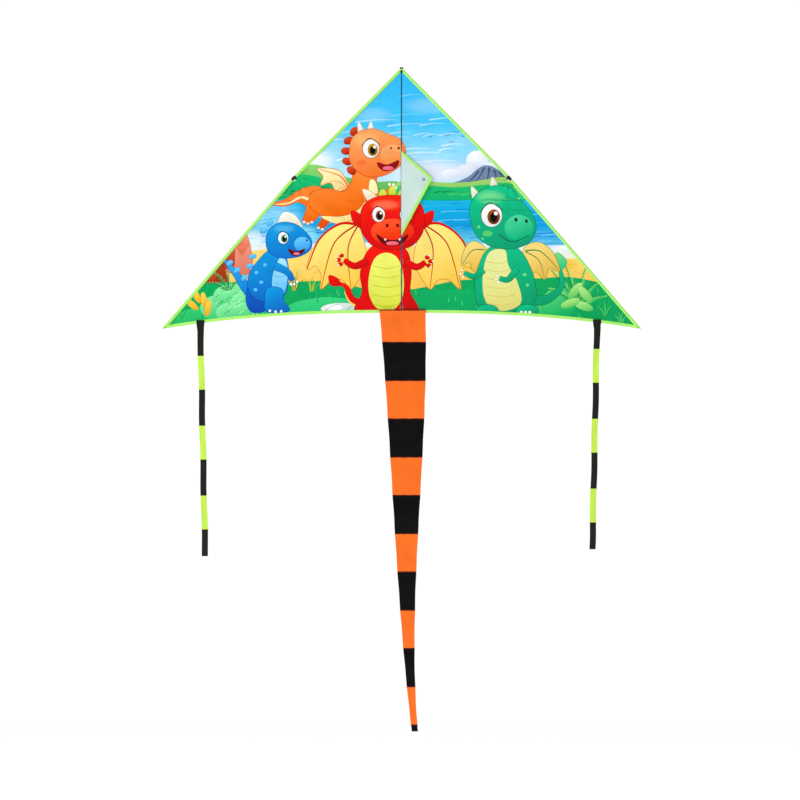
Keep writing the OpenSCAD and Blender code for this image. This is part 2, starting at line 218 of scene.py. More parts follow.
def settle_sail():
    """Cloth pinned along the spine and the leading edge, pushed gently from the front."""
    step, columns, rows = CLOTH_STEP, CLOTH_COLUMNS, CLOTH_ROWS
    places, index = [], {}
    for i in range(columns):
        for j in range(rows):
            x, z = i * step, -j * step
            if x <= edge_x(z) + step and z >= trail_z(x) - step:
                index[i, j] = len(places)
                places.append((x, 0, z))
    faces = [(index[i, j], index[i + 1, j], index[i + 1, j + 1], index[i, j + 1])
             for i in range(columns) for j in range(rows)
             if all(k in index for k in ((i, j), (i + 1, j), (i + 1, j + 1), (i, j + 1)))]
    mesh = bpy.data.meshes.new("sail cloth")
    mesh.from_pydata(places, [], faces)
    cloth = bpy.data.objects.new("sail cloth", mesh)
    bpy.context.collection.objects.link(cloth)
    pinned = cloth.vertex_groups.new(name="pinned")
    pinned.add([n for (i, j), n in index.items()
                if i == 0 or i * step > edge_x(-j * step) - 0.008 or j == 0], 1.0, "REPLACE")
    bpy.context.view_layer.objects.active = cloth
    cloth.modifiers.new("Cloth", "CLOTH")
    sim = cloth.modifiers["Cloth"]
    sim.settings.vertex_group_mass = "pinned"
    sim.settings.quality = 8
    sim.settings.mass = 0.05
    sim.settings.tension_stiffness = 30
    sim.settings.compression_stiffness = 30
    sim.settings.shear_stiffness = 12
    sim.settings.bending_stiffness = 0.4
    sim.settings.shrink_min = -0.006
    sim.settings.use_pressure = True
    sim.settings.uniform_pressure_force = 0.35
    sim.collision_settings.use_collision = False
    sim.point_cache.frame_end = CLOTH_FRAMES
    scene = bpy.context.scene
    for step_number in range(1, CLOTH_FRAMES + 1):
        scene.frame_set(step_number)
    settled = cloth.evaluated_get(bpy.context.evaluated_depsgraph_get())
    found = np.array([v.co[1] for v in settled.data.vertices])
    scene.frame_set(1)
    bpy.data.objects.remove(cloth)
    lift = np.full((columns, rows), np.nan)
    for (i, j), n in index.items():
        lift[i, j] = found[n]
    return lift


sail_field = settle_sail()
for column in range(sail_field.shape[0]):
    known = np.flatnonzero(~np.isnan(sail_field[column]))
    if len(known):
        sail_field[column, known[-1] + 1:] = sail_field[column, known[-1]]
    sail_field[column, np.isnan(sail_field[column])] = 0
sail_field = BILLOW_LIMIT * np.tanh(np.abs(sail_field) / BILLOW_LIMIT)


def sail_y(x, z):
    """How far the settled cloth stands back from the kite's plane."""
    x, z = np.abs(np.asarray(x, float)), np.asarray(z, float)
    u = np.clip(x / CLOTH_STEP, 0, sail_field.shape[0] - 1.001)
    v = np.clip(-z / CLOTH_STEP, 0, sail_field.shape[1] - 1.001)
    i, j = u.astype(int), v.astype(int)
    fu, fv = u - i, v - j
    fu, fv = fu * fu * (3 - 2 * fu), fv * fv * (3 - 2 * fv)
    smooth = (sail_field[i, j] * (1 - fu) * (1 - fv) + sail_field[i + 1, j] * fu * (1 - fv)
              + sail_field[i, j + 1] * (1 - fu) * fv + sail_field[i + 1, j + 1] * fu * fv)
    away = np.hypot(x - KNEE[0], z - KNEE[1])
    bearing = np.arctan2(z - KNEE[1], KNEE[0] - x)
    # By formula: creases fanning from the fitting, long creases, puckers at the seam, a loose lower edge
    fan = (0.0030 * np.sin(bearing * 13 + 3 * np.sin(away * 21)) * np.exp(-away / 0.085)
           * np.clip(away / 0.014, 0, 1))
    crease = (0.0015 * np.sin((x * 0.8 - z * 0.45) * 118 + 3 * np.sin(z * 19 + x * 11))
              * np.sin(x * 17 + z * 13))
    pucker = 0.0005 * np.sin(z * 310 + 2 * np.sin(z * 57)) * np.exp(-x / 0.012)
    flutter = 0.0016 * np.sin(x * 61 + 1.3) * np.sin(x * 23) * np.exp((trail_z(x) - z) / 0.03)
    edge = np.clip(np.minimum(x, edge_x(z) - x) / 0.012, 0, 1)
    loose = (smooth + fan + crease + flutter) * edge + pucker * np.clip((edge_x(z) - x) / 0.02, 0, 1)
    # The cloth stays between the keel flap in front of it and the spreader behind it.
    return ROOM_MIDDLE + ROOM_HALF * np.tanh((loose - ROOM_MIDDLE) / ROOM_HALF)


# The print is a seaside scene with four small dragons, laid out in centimetres from the nose:
# x to the right, y downwards. Later patches of ink lie on top of earlier ones.
prints = []
draw = random.Random(41)


def smooth_path(points, closed=True, fineness=0.22):
    """A curve through given points."""
    points = np.array(points, float)
    count = len(points)
    route = []
    for k in range(count if closed else count - 1):
        if closed:
            p0, p1, p2, p3 = (points[(k + d) % count] for d in (-1, 0, 1, 2))
        else:
            p0, p1, p2, p3 = points[max(k - 1, 0)], points[k], points[k + 1], points[min(k + 2, count - 1)]
        steps = max(2, int(np.linalg.norm(p2 - p1) / fineness))
        t = np.arange(steps)[:, None] / steps
        route.append(0.5 * (2 * p1 + (p2 - p0) * t + (2 * p0 - 5 * p1 + 4 * p2 - p3) * t ** 2
                            + (3 * p1 - p0 - 3 * p2 + p3) * t ** 3))
    if not closed:
        route.append(points[-1:])
    return np.concatenate(route)


def ink(outline, light, dark=None, toward=(0.3, 1.0), line=None, width=0.11):
    """A closed patch whose colour runs from light to dark, with a line round it if one is given."""
    outline = np.array(outline, float)
    if line is not None:
        ahead, behind = np.roll(outline, -1, 0), np.roll(outline, 1, 0)
        normal = (ahead - behind) @ np.array([[0, -1], [1, 0]])
        normal /= np.maximum(np.linalg.norm(normal, axis=1), 1e-9)[:, None]
        area = np.sum(outline[:, 0] * np.roll(outline[:, 1], -1) - np.roll(outline[:, 0], -1) * outline[:, 1])
        ink(outline + normal * width * (1 if area > 0 else -1), line)
    toward = np.array(toward, float) / np.linalg.norm(toward)
    reach = outline @ toward
    prints.append({"outline": outline, "light": linear(np.array(light) / 255.0),
                   "dark": linear(np.array(dark if dark is not None else light) / 255.0),
                   "toward": toward, "from": reach.min(), "to": reach.max(), "soft": False})


def blob(points, light, dark=None, **more):
    ink(smooth_path(points), light, dark, **more)


def oval(x, y, across, down, light, dark=None, turn=0.0, **more):
    count = max(10, int(6 * (across + down)) * 2)
    a = np.arange(count) / count * 2 * math.pi
    c, s = math.cos(math.radians(turn)), math.sin(math.radians(turn))
    px, py = across * np.cos(a), down * np.sin(a)
    ink(np.stack([x + px * c - py * s, y + px * s + py * c], 1), light, dark, **more)


def brush(points, wide, narrow, light, dark=None, **more):
    """A tapering stroke along a curve."""
    route = smooth_path(points, closed=False)
    side = np.gradient(route, axis=0) @ np.array([[0, -1], [1, 0]])
    side /= np.maximum(np.linalg.norm(side, axis=1), 1e-9)[:, None]
    half = np.linspace(wide, narrow, len(route))[:, None] / 2
    ink(np.concatenate([route + side * half, (route - side * half)[::-1]]), light, dark, **more)


def haze(x, y, across, down, colour, strength=0.8):
    """A soft patch that fades out to its rim."""
    prints.append({"centre": (x, y), "size": (across, down), "light": linear(np.array(colour) / 255.0),
                   "strength": strength, "soft": True})


def tuft(x, y, height, spread, blades, colours, thick=0.28):
    for blade in range(blades):
        lean = (blade / max(blades - 1, 1) - 0.5) * 2
        top = height * (1 - 0.35 * abs(lean)) * draw.uniform(0.8, 1.1)
        brush([(x + lean * 0.3, y), (x + lean * spread * 0.45, y - top * 0.6), (x + lean * spread, y - top)],
              thick, 0.04, colours[blade % len(colours)])


def frond(x, y, tip_x, tip_y, leaf, colour, dark):
    """A palm leaf: a bent rib with narrow leaflets down both sides."""
    middle = ((x + tip_x) / 2, (y + tip_y) / 2 - 0.6)
    rib = smooth_path([(x, y), middle, (tip_x, tip_y)], closed=False, fineness=0.5)
    for k in range(1, len(rib)):
        run = rib[k] - rib[k - 1]
        run /= np.linalg.norm(run)
        for side in (-1, 1):
            across = np.array([-run[1], run[0]]) * side
            length = leaf * (1.15 - k / len(rib))
            end = rib[k] + (across * 0.75 + run * 0.8) * length
            brush([rib[k], (rib[k] + end) / 2 + run * 0.1, end], 0.26, 0.03, colour if side > 0 else dark)
    brush([(x, y), middle, (tip_x, tip_y)], 0.2, 0.05, dark)


# Sky, clouds and birds
ink([(-60, -3), (60, -3), (60, 12), (-60, 12)], (46, 178, 244), (76, 200, 251), toward=(0, 1))
ink([(-60, 12), (60, 12), (60, 18), (-60, 18)], (76, 200, 251), (146, 220, 250), toward=(0, 1))
ink([(-60, 18), (60, 18), (60, 30), (-60, 30)], (146, 218, 250), (238, 245, 250), toward=(0, 1))
for streak in range(46):
    sx, sy = draw.uniform(-24, 22), draw.uniform(3, 21)
    pale = (120, 210, 252) if sy < 10 else (176, 226, 252) if sy < 15 else (226, 241, 252)
    reach = draw.uniform(1.5, 4.5)
    brush([(sx - reach, sy + 0.3), (sx, sy - 0.15), (sx + reach, sy - 0.1)], 0.34, 0.05, pale)
for hx, hy, hw, hh in ((6, 8, 7, 2.2), (-6, 10, 5, 2), (12, 15.5, 6, 1.6), (-14, 17, 6, 2.4),
                       (4, 18.5, 8, 1.8)):
    haze(hx, hy, hw, hh, (190, 230, 252), 0.3)
haze(-19, 19.5, 6, 3.2, (250, 252, 255), 0.9)
haze(6, 21.8, 11, 2.6, (228, 234, 248), 0.95)
oval(15.9, 19.7, 2.35, 2.3, (250, 251, 255), (206, 216, 236))
oval(13.6, 21.6, 2.0, 1.3, (240, 243, 252), (208, 218, 238))
oval(10.6, 22.3, 2.3, 1.0, (244, 246, 252), (214, 222, 240))
oval(18.6, 21.4, 1.8, 1.5, (240, 243, 252), (206, 216, 236))
for bx, by, bw in ((9.6, 14.4, 0.75), (11.5, 13.7, 0.9), (12.9, 14.6, 0.6), (10.5, 15.8, 0.7),
                   (6.1, 14.7, 0.5)):
    brush([(bx - bw, by - 0.25), (bx - bw * 0.4, by - 0.34), (bx, by)], 0.04, 0.11, (58, 84, 116))
    brush([(bx + bw, by - 0.42), (bx + bw * 0.4, by - 0.38), (bx, by)], 0.04, 0.11, (58, 84, 116))

# Mountain and hills
ink(smooth_path([(9.6, 24.9), (12.2, 23.7), (14.1, 22.8), (15.6, 21.5), (17.3, 20.5), (18.7, 20.6),
                 (20.1, 21.3),
                 (21.6, 22.4), (24.5, 24.9)]), (128, 146, 176), (88, 108, 140))
for px0, py0, px1, py1 in ((17.4, 20.9, 15.2, 24.4), (18.4, 20.9, 17.6, 24.2), (19.4, 21.4, 19.8, 24.3),
                           (16.2, 21.7, 13.6, 24.3), (20.6, 22.0, 21.6, 24.2)):
    brush([(px0, py0), ((px0 + px1) / 2 + 0.2, (py0 + py1) / 2), (px1, py1)], 0.5, 0.08, (76, 94, 128))
blob([(-30, 25.4), (-24, 21.2), (-19.6, 20.3), (-16, 20.8), (-12, 22.8), (-6, 23.9), (0, 24.3), (0, 30),
      (-32, 30)],
     (140, 214, 112), (28, 150, 84), toward=(0, 1))
blob([(-30, 27.0), (-24, 23.0), (-20, 22.4), (-15, 23.6), (-9, 25.0), (-3, 25.8), (3, 25.4), (3, 31),
      (-32, 31)],
     (46, 192, 112), (20, 160, 116), toward=(0, 1))
blob([(-1, 24.3), (4, 23.7), (9, 24.1), (14, 24.0), (18, 23.4), (22, 23.0), (30, 25.0), (34, 30), (-1, 30)],
     (170, 220, 116), (40, 168, 88), toward=(0, 1))
blob([(-1, 25.2), (5, 24.7), (11, 25.1), (17, 24.6), (22, 24.2), (28, 26.0), (34, 31), (-1, 31)],
     (50, 194, 112), (22, 170, 118), toward=(0, 1))
for hill in range(26):
    hx, hy = draw.uniform(-26, 26), draw.uniform(24.8, 27.2)
    brush([(hx - 1.3, hy + 0.2), (hx, hy - 0.1), (hx + 1.4, hy + 0.15)], 0.3, 0.06,
          (92, 204, 110) if hill % 2 else (14, 138, 84))

# Sea and foam
ink([(-60, 27.9), (60, 27.7), (60, 33), (-60, 33)], (46, 184, 232), (16, 160, 222), toward=(0, 1))
ink([(-60, 33), (60, 33), (60, 37.2), (-60, 37.2)], (16, 160, 222), (116, 212, 240), toward=(0, 1))
haze(-28, 31.5, 9, 4.5, (150, 218, 250), 0.85)
haze(-33, 36.5, 8, 3.0, (226, 242, 250), 0.95)
haze(30, 36.2, 7, 2.2, (60, 160, 230), 0.6)
haze(-20.5, 35.2, 4.0, 2.6, (150, 228, 238), 0.85)
for wave in range(110):
    wx, wy = draw.uniform(-34, 36), draw.uniform(28.2, 36.6)
    reach = draw.uniform(0.8, 3.2)
    brush([(wx - reach, wy + 0.12), (wx, wy - 0.12), (wx + reach, wy + 0.06)], 0.2, 0.04,
          ((120, 208, 248), (64, 186, 242), (16, 128, 212))[wave % 3])
ink(smooth_path([(-60, 36.9), (-36, 37.2), (-26, 36.7), (-14, 37.0), (0, 36.4), (12, 37.1), (22, 36.7),
                 (34, 38.0),
                 (60, 38.5), (60, 41), (-60, 41)]), (226, 240, 248), (246, 240, 214), toward=(0, 1))

# Sand
ink(smooth_path([(-60, 38.2), (-34, 38.5), (-26, 37.8), (-14, 38.0), (0, 37.3), (12, 38.0), (22, 37.8),
                 (33, 39.9),
                 (60, 40.5), (60, 50), (-60, 50)]), (255, 222, 124), (247, 186, 62), toward=(0, 1))
haze(-13, 40.5, 8, 3.0, (255, 236, 158), 0.8)
haze(10, 42.5, 7, 2.4, (252, 196, 66), 0.7)
haze(33, 41.6, 5, 1.6, (255, 196, 64), 0.8)
for grain in range(60):
    gx, gy = draw.uniform(-24, 38), draw.uniform(39.5, 45)
    brush([(gx - 1.0, gy), (gx, gy - 0.08), (gx + 1.1, gy + 0.05)], 0.13, 0.03,
          (255, 232, 150) if grain % 2 else (240, 176, 60))

# Rocks at the left edge
ink([(-39.5, 41.5), (-37.2, 37.4), (-34.6, 35.4), (-32.3, 35.2), (-31.7, 37.2), (-31.2, 40.6), (-32.0, 43.4),
     (-36.5, 43.0)], (250, 166, 140), (218, 118, 94), line=(170, 66, 48), width=0.07)
ink([(-34.6, 35.4), (-32.3, 35.2), (-31.7, 37.2), (-33.4, 39.4), (-34.8, 37.8)], (250, 150, 118),
    (226, 112, 84))
ink([(-37.2, 37.4), (-34.8, 37.8), (-35.0, 41.6), (-37.4, 42.6), (-39.5, 41.5)], (212, 96, 70), (176, 64, 46))
ink([(-43.5, 47.8), (-41.6, 43.4), (-39.4, 41.0), (-37.4, 41.6), (-36.2, 44.6), (-37.2, 47.6), (-41.5, 50.2)],
    (176, 74, 46), (116, 44, 30), line=(92, 34, 24), width=0.07)
ink([(-41.6, 43.4), (-39.4, 41.0), (-38.6, 43.6), (-40.2, 46.0)], (204, 92, 60), (160, 62, 42))

# Ground, stones and bushes
blob([(-60, 46.6), (-44, 45.6), (-36, 45.0), (-28, 45.6), (-22, 44.9), (-14, 44.8), (-8, 46.2), (0, 46.6),
      (5, 46.0), (12, 44.6), (20, 44.4), (28, 44.2), (36, 44.0), (46, 46), (60, 48), (60, 62), (-60, 62)],
     (28, 172, 98), (4, 152, 90), toward=(0, 1))
blob([(-24, 50.2), (-17, 48.2), (-9, 48.8), (-2, 50.6), (-2, 56), (-26, 56)], (68, 210, 128), (20, 172, 100),
     toward=(0, 1))
blob([(3, 47.8), (9, 46.6), (17, 46.8), (26, 48.0), (32, 50.6), (32, 57), (3, 57)], (40, 178, 104),
     (8, 152, 92),
     toward=(0, 1))
blob([(-48, 52.5), (-43, 50.2), (-37, 49.4), (-31, 50.4), (-24, 52.0), (-24, 58), (-50, 58)], (66, 206, 116),
     (8, 158, 88), toward=(0, 1))
for turf in range(120):
    tx = draw.uniform(-44, 44)
    ty = draw.uniform(45.8, 52.5)
    brush([(tx, ty + 0.5), (tx + 0.1, ty), (tx + draw.uniform(-0.5, 0.5), ty - 0.6)], 0.2, 0.03,
          ((96, 220, 128), (10, 132, 76), (44, 190, 104))[turf % 3])
oval(-12.6, 50.6, 4.3, 1.25, (236, 242, 238), (176, 204, 196), line=(126, 168, 156), width=0.06)
oval(-14.0, 50.3, 1.6, 0.5, (250, 252, 250))
brush([(-16.4, 51.4), (-14.6, 50.0), (-12.8, 49.5)], 0.12, 0.04, (30, 140, 84))
brush([(-11.6, 51.4), (-10.8, 50.2), (-9.6, 49.8)], 0.12, 0.04, (30, 140, 84))
for bx, by, bw, bh in ((-38.8, 50.4, 3.4, 2.6), (-35.6, 48.2, 3.9, 2.9), (-32.6, 49.4, 3.2, 3.0),
                       (-34.6, 51.4, 4.4, 2.4)):
    oval(bx, by, bw, bh, (142, 238, 164), (48, 196, 112), line=(34, 172, 98), width=0.06)
for leaf in range(30):
    lx, ly = draw.uniform(-39, -30), draw.uniform(47, 52)
    brush([(lx, ly), (lx + 0.4, ly - 0.5), (lx + 1.0, ly - 0.6)], 0.22, 0.03,
          (176, 246, 186) if leaf % 2 else (40, 178, 100))
for fx, fy, gx, gy in ((-36.4, 46.6, -39.6, 42.8), (-36.2, 46.6, -36.4, 41.8), (-36.0, 46.8, -32.6, 43.4),
                       (-36.4, 46.8, -41.0, 45.2)):
    frond(fx, fy, gx, gy, 0.95, (110, 196, 120), (38, 132, 80))
for lx, ly, turn in ((-43.0, 47.8, 62), (-41.4, 48.8, 80), (-44.0, 49.6, 40), (-40.6, 50.4, 100)):
    oval(lx, ly, 1.7, 0.6, (255, 218, 84), (240, 168, 38), turn=turn, line=(214, 140, 30), width=0.05)
tuft(-22.4, 46.8, 4.6, 2.2, 9, [(44, 172, 84), (250, 196, 48), (20, 140, 70)])
tuft(-18.8, 46.9, 3.4, 2.2, 8, [(34, 160, 80), (96, 190, 84), (250, 200, 60)])
tuft(-46.0, 53.0, 3.0, 1.8, 7, [(70, 210, 110), (12, 140, 78)])
tuft(42.8, 52.0, 3.4, 1.8, 8, [(96, 220, 120), (12, 138, 78), (50, 190, 100)])
tuft(46.0, 53.4, 2.6, 1.4, 7, [(96, 220, 120), (12, 138, 78)])
for bx, by, bw, bh in ((29.6, 50.6, 3.4, 2.6), (33.0, 49.4, 3.5, 3.3)):
    oval(bx, by, bw, bh, (92, 220, 126), (24, 172, 98), line=(8, 128, 76), width=0.07)
for fx, fy, gx, gy in ((36.6, 49.6, 31.6, 42.6), (36.6, 49.4, 34.4, 41.2), (36.8, 49.4, 38.6, 42.2),
                       (36.6, 49.8, 31.0, 46.4), (37.0, 49.6, 41.6, 44.6), (37.0, 50.0, 42.8, 47.8)):
    frond(fx, fy, gx, gy, 1.5, (148, 228, 122), (30, 150, 84))
for lx, ly, turn in ((36.4, 46.8, -50), (38.6, 47.6, -130), (38.2, 50.0, 200), (35.4, 49.4, -20)):
    oval(lx, ly, 2.1, 0.85, (186, 240, 140), (88, 200, 100), turn=turn, line=(60, 176, 92), width=0.05)


def small_eye(x, y, across, down, iris, look=0.22, lid=(90, 40, 20)):
    """A plain oval eye with a heavy upper lid."""
    oval(x, y, across, down, (255, 255, 252), (232, 236, 238), line=lid, width=0.10)
    oval(x + look * across, y + 0.12 * down, across * 0.62, down * 0.66, iris, tuple(c * 0.6 for c in iris))
    oval(x + look * across, y + 0.16 * down, across * 0.36, down * 0.42, (24, 18, 26))
    oval(x + look * across + across * 0.22, y - down * 0.18, across * 0.2, down * 0.17, (255, 255, 255))
    brush([(x - across * 1.15, y - down * 0.25), (x - across * 0.2, y - down * 1.12),
           (x + across * 1.1, y - down * 0.45)],
          0.14, 0.16, lid)


# Orange dragon, flying at the upper left
RUST = (190, 62, 20)
ORANGE = (255, 140, 62)
EMBER = (240, 104, 30)
CREAM = (255, 240, 180)
blob([(-10.6, 26.0), (-11.8, 23.2), (-13.6, 21.4), (-17.6, 21.2), (-16.4, 22.8), (-16.9, 24.6), (-14.8, 24.2),
      (-13.6, 26.4), (-12.2, 25.6)], (255, 244, 190), (246, 214, 130), line=RUST)
brush([(-10.9, 25.6), (-12.8, 22.8), (-17.2, 21.4)], 0.34, 0.1, EMBER)
brush([(-11.2, 25.4), (-13.6, 23.8), (-16.6, 24.3)], 0.16, 0.06, EMBER)
brush([(-11.2, 25.8), (-12.6, 25.2), (-13.6, 26.1)], 0.16, 0.06, EMBER)
blob([(-16.6, 25.6), (-19.4, 25.0), (-22.2, 26.2), (-24.2, 27.6), (-27.2, 28.6), (-24.4, 29.0), (-21.6, 28.2),
      (-19.2, 29.6), (-16.4, 30.6)], ORANGE, EMBER, line=RUST)
brush([(-26.4, 28.7), (-23.6, 28.4), (-21.0, 27.2), (-18.6, 28.2), (-16.6, 29.8)], 0.14, 0.75, CREAM)
blob([(-16.4, 29.4), (-14.2, 29.6), (-14.9, 32.0), (-16.4, 33.6), (-17.6, 33.4), (-16.7, 31.6)], EMBER,
     (214, 84, 24),
     line=RUST)
blob([(-19.3, 27.6), (-16.3, 27.8), (-16.9, 30.2), (-18.4, 32.2), (-20.6, 32.4), (-20.1, 30.2)], ORANGE,
     EMBER,
     line=RUST)
blob([(-18.8, 26.2), (-15.4, 25.4), (-12.4, 26.0), (-10.6, 24.2), (-9.6, 21.4), (-5.6, 21.4), (-5.4, 25.0),
      (-6.2, 28.2), (-8.4, 30.6), (-12.4, 31.6), (-16.6, 31.0), (-19.2, 29.0)], ORANGE, EMBER, line=RUST)
blob([(-16.8, 31.2), (-12.6, 31.2), (-9.2, 29.9), (-7.2, 27.0), (-6.6, 23.6), (-5.3, 24.2), (-5.0, 27.8),
      (-6.4, 31.2), (-10.0, 33.0), (-14.0, 32.6)], (255, 244, 186), (246, 222, 140), line=RUST, width=0.08)
for bx0, by0, bx1, by1 in ((-14.6, 31.4, -14.2, 32.5), (-12.2, 31.3, -11.6, 32.8), (-9.8, 30.5, -8.8, 32.3),
                           (-8.0, 28.8, -6.3, 30.4), (-7.2, 26.8, -5.3, 27.6)):
    brush([(bx0, by0), ((bx0 + bx1) / 2, (by0 + by1) / 2), (bx1, by1)], 0.12, 0.06, (226, 180, 96))
for tx, ty in ((-20.4, 32.4), (-19.6, 32.7), (-18.8, 32.4), (-17.4, 33.6), (-16.6, 33.9)):
    oval(tx, ty, 0.34, 0.26, (255, 250, 236), (226, 214, 196), line=RUST, width=0.04)
brush([(-8.2, 27.4), (-5.6, 27.2), (-3.2, 26.4), (-2.0, 25.2)], 1.5, 0.9, ORANGE, EMBER, line=RUST,
      width=0.08)
for tx, ty in ((-2.5, 24.5), (-1.7, 24.6), (-1.2, 25.2)):
    oval(tx, ty, 0.3, 0.34, (255, 250, 236), line=RUST, width=0.04)
for cx, cy, turn in ((-9.9, 13.4, 40), (-11.1, 15.3, 66), (-11.6, 17.5, 90), (-11.4, 19.7, 110),
                     (-10.5, 21.6, 130)):
    oval(cx, cy, 0.75, 1.05, (224, 84, 52), (176, 44, 34), turn=turn, line=(140, 36, 26), width=0.06)
for root, top in (((-8.4, 14.0), (-9.0, 11.4)), ((-6.6, 13.4), (-6.4, 11.3))):
    blob([(root[0] - 0.6, root[1]), top, (root[0] + 0.7, root[1] - 0.2)], (255, 252, 240), (226, 212, 190),
         line=(170, 130, 90), width=0.06)
blob([(-10.9, 17.6), (-10.4, 15.0), (-8.4, 13.3), (-5.6, 12.9), (-3.0, 13.9), (-0.4, 15.0), (0.7, 16.8),
      (0.6, 19.0),
      (-0.8, 21.0), (-3.8, 22.6), (-7.0, 22.8), (-9.6, 21.4), (-10.8, 19.6)], (255, 166, 98), (248, 118, 52),
      line=RUST)
haze(-7.2, 15.2, 3.4, 1.9, (255, 190, 124), 0.7)
oval(-1.9, 18.3, 2.5, 2.2, (255, 176, 112), (255, 138, 66))
oval(-0.6, 16.9, 0.34, 0.24, (120, 34, 16), turn=20)
oval(-2.2, 16.9, 0.26, 0.2, (120, 34, 16), turn=20)
blob([(-5.0, 19.9), (-3.0, 20.4), (-0.6, 19.5), (-1.2, 21.0), (-3.2, 21.7), (-4.6, 21.0)], (170, 26, 48),
     (120, 14, 34),
     line=(110, 24, 20), width=0.07)
oval(-2.8, 21.1, 1.15, 0.42, (248, 128, 150), (226, 92, 120))
oval(-8.4, 19.9, 0.95, 0.6, (255, 118, 70))
small_eye(-6.4, 17.0, 1.7, 1.95, (214, 158, 40))

# Red dragon, in the middle
WINE = (150, 16, 14)
SCARLET = (246, 44, 22)
CRIMSON = (206, 18, 12)
for mirror in (1, -1):
    def m(points):
        return [(-2.3 + (x + 2.3) * mirror, y) for x, y in points]
    blob(m([(-9.2, 32.8), (-12.2, 32.6), (-16.0, 34.6), (-18.6, 38.0), (-19.8, 42.2), (-18.0, 41.6),
            (-16.8, 43.6),
            (-16.9, 46.4), (-14.4, 44.4), (-12.2, 44.6), (-10.6, 46.4), (-8.4, 43.4), (-7.2, 40.0)]),
         (255, 236, 136), (253, 202, 76), line=(206, 60, 30), width=0.1)
    brush(m([(-9.0, 32.9), (-13.0, 32.8), (-17.2, 36.0), (-19.8, 42.2)]), 0.62, 0.2, (214, 44, 26))
    brush(m([(-9.4, 32.9), (-14.2, 37.0), (-16.9, 46.4)]), 0.36, 0.1, (190, 42, 26))
    brush(m([(-9.2, 33.2), (-11.2, 38.0), (-10.6, 46.2)]), 0.32, 0.1, (190, 42, 26))
brush([(-7.6, 50.2), (-10.4, 48.6), (-11.6, 46.0), (-14.0, 45.0)], 2.2, 0.3, SCARLET, CRIMSON, line=WINE,
      width=0.08)
brush([(-8.0, 50.6), (-10.7, 49.3), (-12.0, 46.9)], 0.7, 0.1, (255, 214, 100))
blob([(-14.8, 45.6), (-15.2, 43.6), (-13.4, 44.2), (-12.8, 45.6)], SCARLET, CRIMSON, line=WINE, width=0.07)
for fx in (-7.0, 1.0):
    oval(fx, 50.6, 2.3, 1.9, SCARLET, CRIMSON, line=WINE)
blob([(-7.4, 39.0), (-5.0, 37.0), (-1.0, 37.0), (1.4, 39.0), (2.0, 43.0), (1.8, 47.0), (3.0, 51.6),
      (-9.2, 51.6),
      (-8.2, 47.0), (-8.6, 43.0)], SCARLET, CRIMSON, line=WINE)
blob([(-5.6, 40.0), (-3.2, 38.8), (-0.8, 40.0), (0.4, 43.6), (0.3, 47.6), (-1.2, 50.4), (-3.2, 51.0),
      (-5.4, 50.2),
      (-6.8, 47.4), (-6.8, 43.6)], (240, 240, 116), (212, 222, 72), line=(196, 60, 22), width=0.09)
for band in range(5):
    by = 41.6 + band * 2.0
    brush([(-6.0, by), (-3.2, by + 0.5), (-0.4, by)], 0.13, 0.13, (176, 196, 40))
brush([(-7.2, 40.6), (-9.8, 41.6), (-12.0, 40.4)], 1.6, 1.0, SCARLET, CRIMSON, line=WINE, width=0.08)
brush([(0.8, 40.8), (3.2, 41.8), (5.0, 40.8)], 1.6, 1.0, SCARLET, CRIMSON, line=WINE, width=0.08)
for hx, hy in ((-12.6, 39.4), (-13.2, 40.3), (-12.8, 41.2), (5.4, 39.8), (6.1, 40.6), (5.7, 41.5)):
    oval(hx, hy, 0.5, 0.42, SCARLET, CRIMSON, line=WINE, width=0.06)
for hx, hy in ((-13.0, 39.1), (-13.6, 40.3), (-13.2, 41.4), (5.8, 39.4), (6.6, 40.6), (6.1, 41.8)):
    oval(hx, hy, 0.2, 0.2, (255, 250, 236), line=WINE, width=0.03)
for mirror in (1, -1):
    def m(points):
        return [(-1.9 + (x + 1.9) * mirror, y) for x, y in points]
    blob(m([(-6.6, 28.6), (-8.2, 25.6), (-6.4, 26.0), (-4.8, 27.6)]), (255, 248, 226), (222, 202, 160),
         line=(160, 96, 50), width=0.07)
    blob(m([(-8.0, 31.4), (-10.4, 30.0), (-10.2, 32.2), (-8.2, 33.8)]), SCARLET, CRIMSON, line=WINE,
         width=0.08)
for cx, cy in ((-3.9, 26.8), (-1.9, 26.1), (0.1, 26.8)):
    oval(cx, cy, 0.8, 1.3, (222, 236, 92), (172, 200, 48), line=(110, 130, 30), width=0.06)
blob([(-8.6, 32.0), (-8.0, 29.0), (-5.4, 27.2), (-1.9, 26.8), (1.6, 27.2), (4.2, 29.0), (4.8, 32.0),
      (4.2, 35.0),
      (2.0, 37.4), (-1.9, 38.2), (-5.8, 37.4), (-8.0, 35.0)], (250, 50, 26), (212, 18, 12), line=WINE)
haze(-3.4, 28.8, 3.6, 1.3, (255, 126, 92), 0.75)
oval(-1.9, 34.4, 4.5, 2.7, (255, 92, 56), (236, 44, 24))
for nx in (-3.0, -0.8):
    oval(nx, 33.1, 0.32, 0.42, (110, 8, 8), turn=12 if nx < -2 else -12)
blob([(-5.2, 35.0), (-3.6, 35.9), (-1.9, 36.2), (-0.2, 35.9), (1.4, 35.0), (0.4, 36.6), (-1.9, 37.4),
      (-4.2, 36.6)],
     (120, 6, 20), (90, 4, 14), line=(96, 8, 10), width=0.06)
oval(-1.9, 36.85, 1.35, 0.42, (255, 128, 150), (232, 88, 116))
for tooth in (-3.4, -0.4):
    ink([(tooth - 0.28, 35.85), (tooth + 0.28, 35.9), (tooth, 36.4)], (255, 255, 250))
small_eye(-4.8, 30.8, 1.3, 1.55, (150, 84, 30), look=0.15, lid=(110, 10, 10))
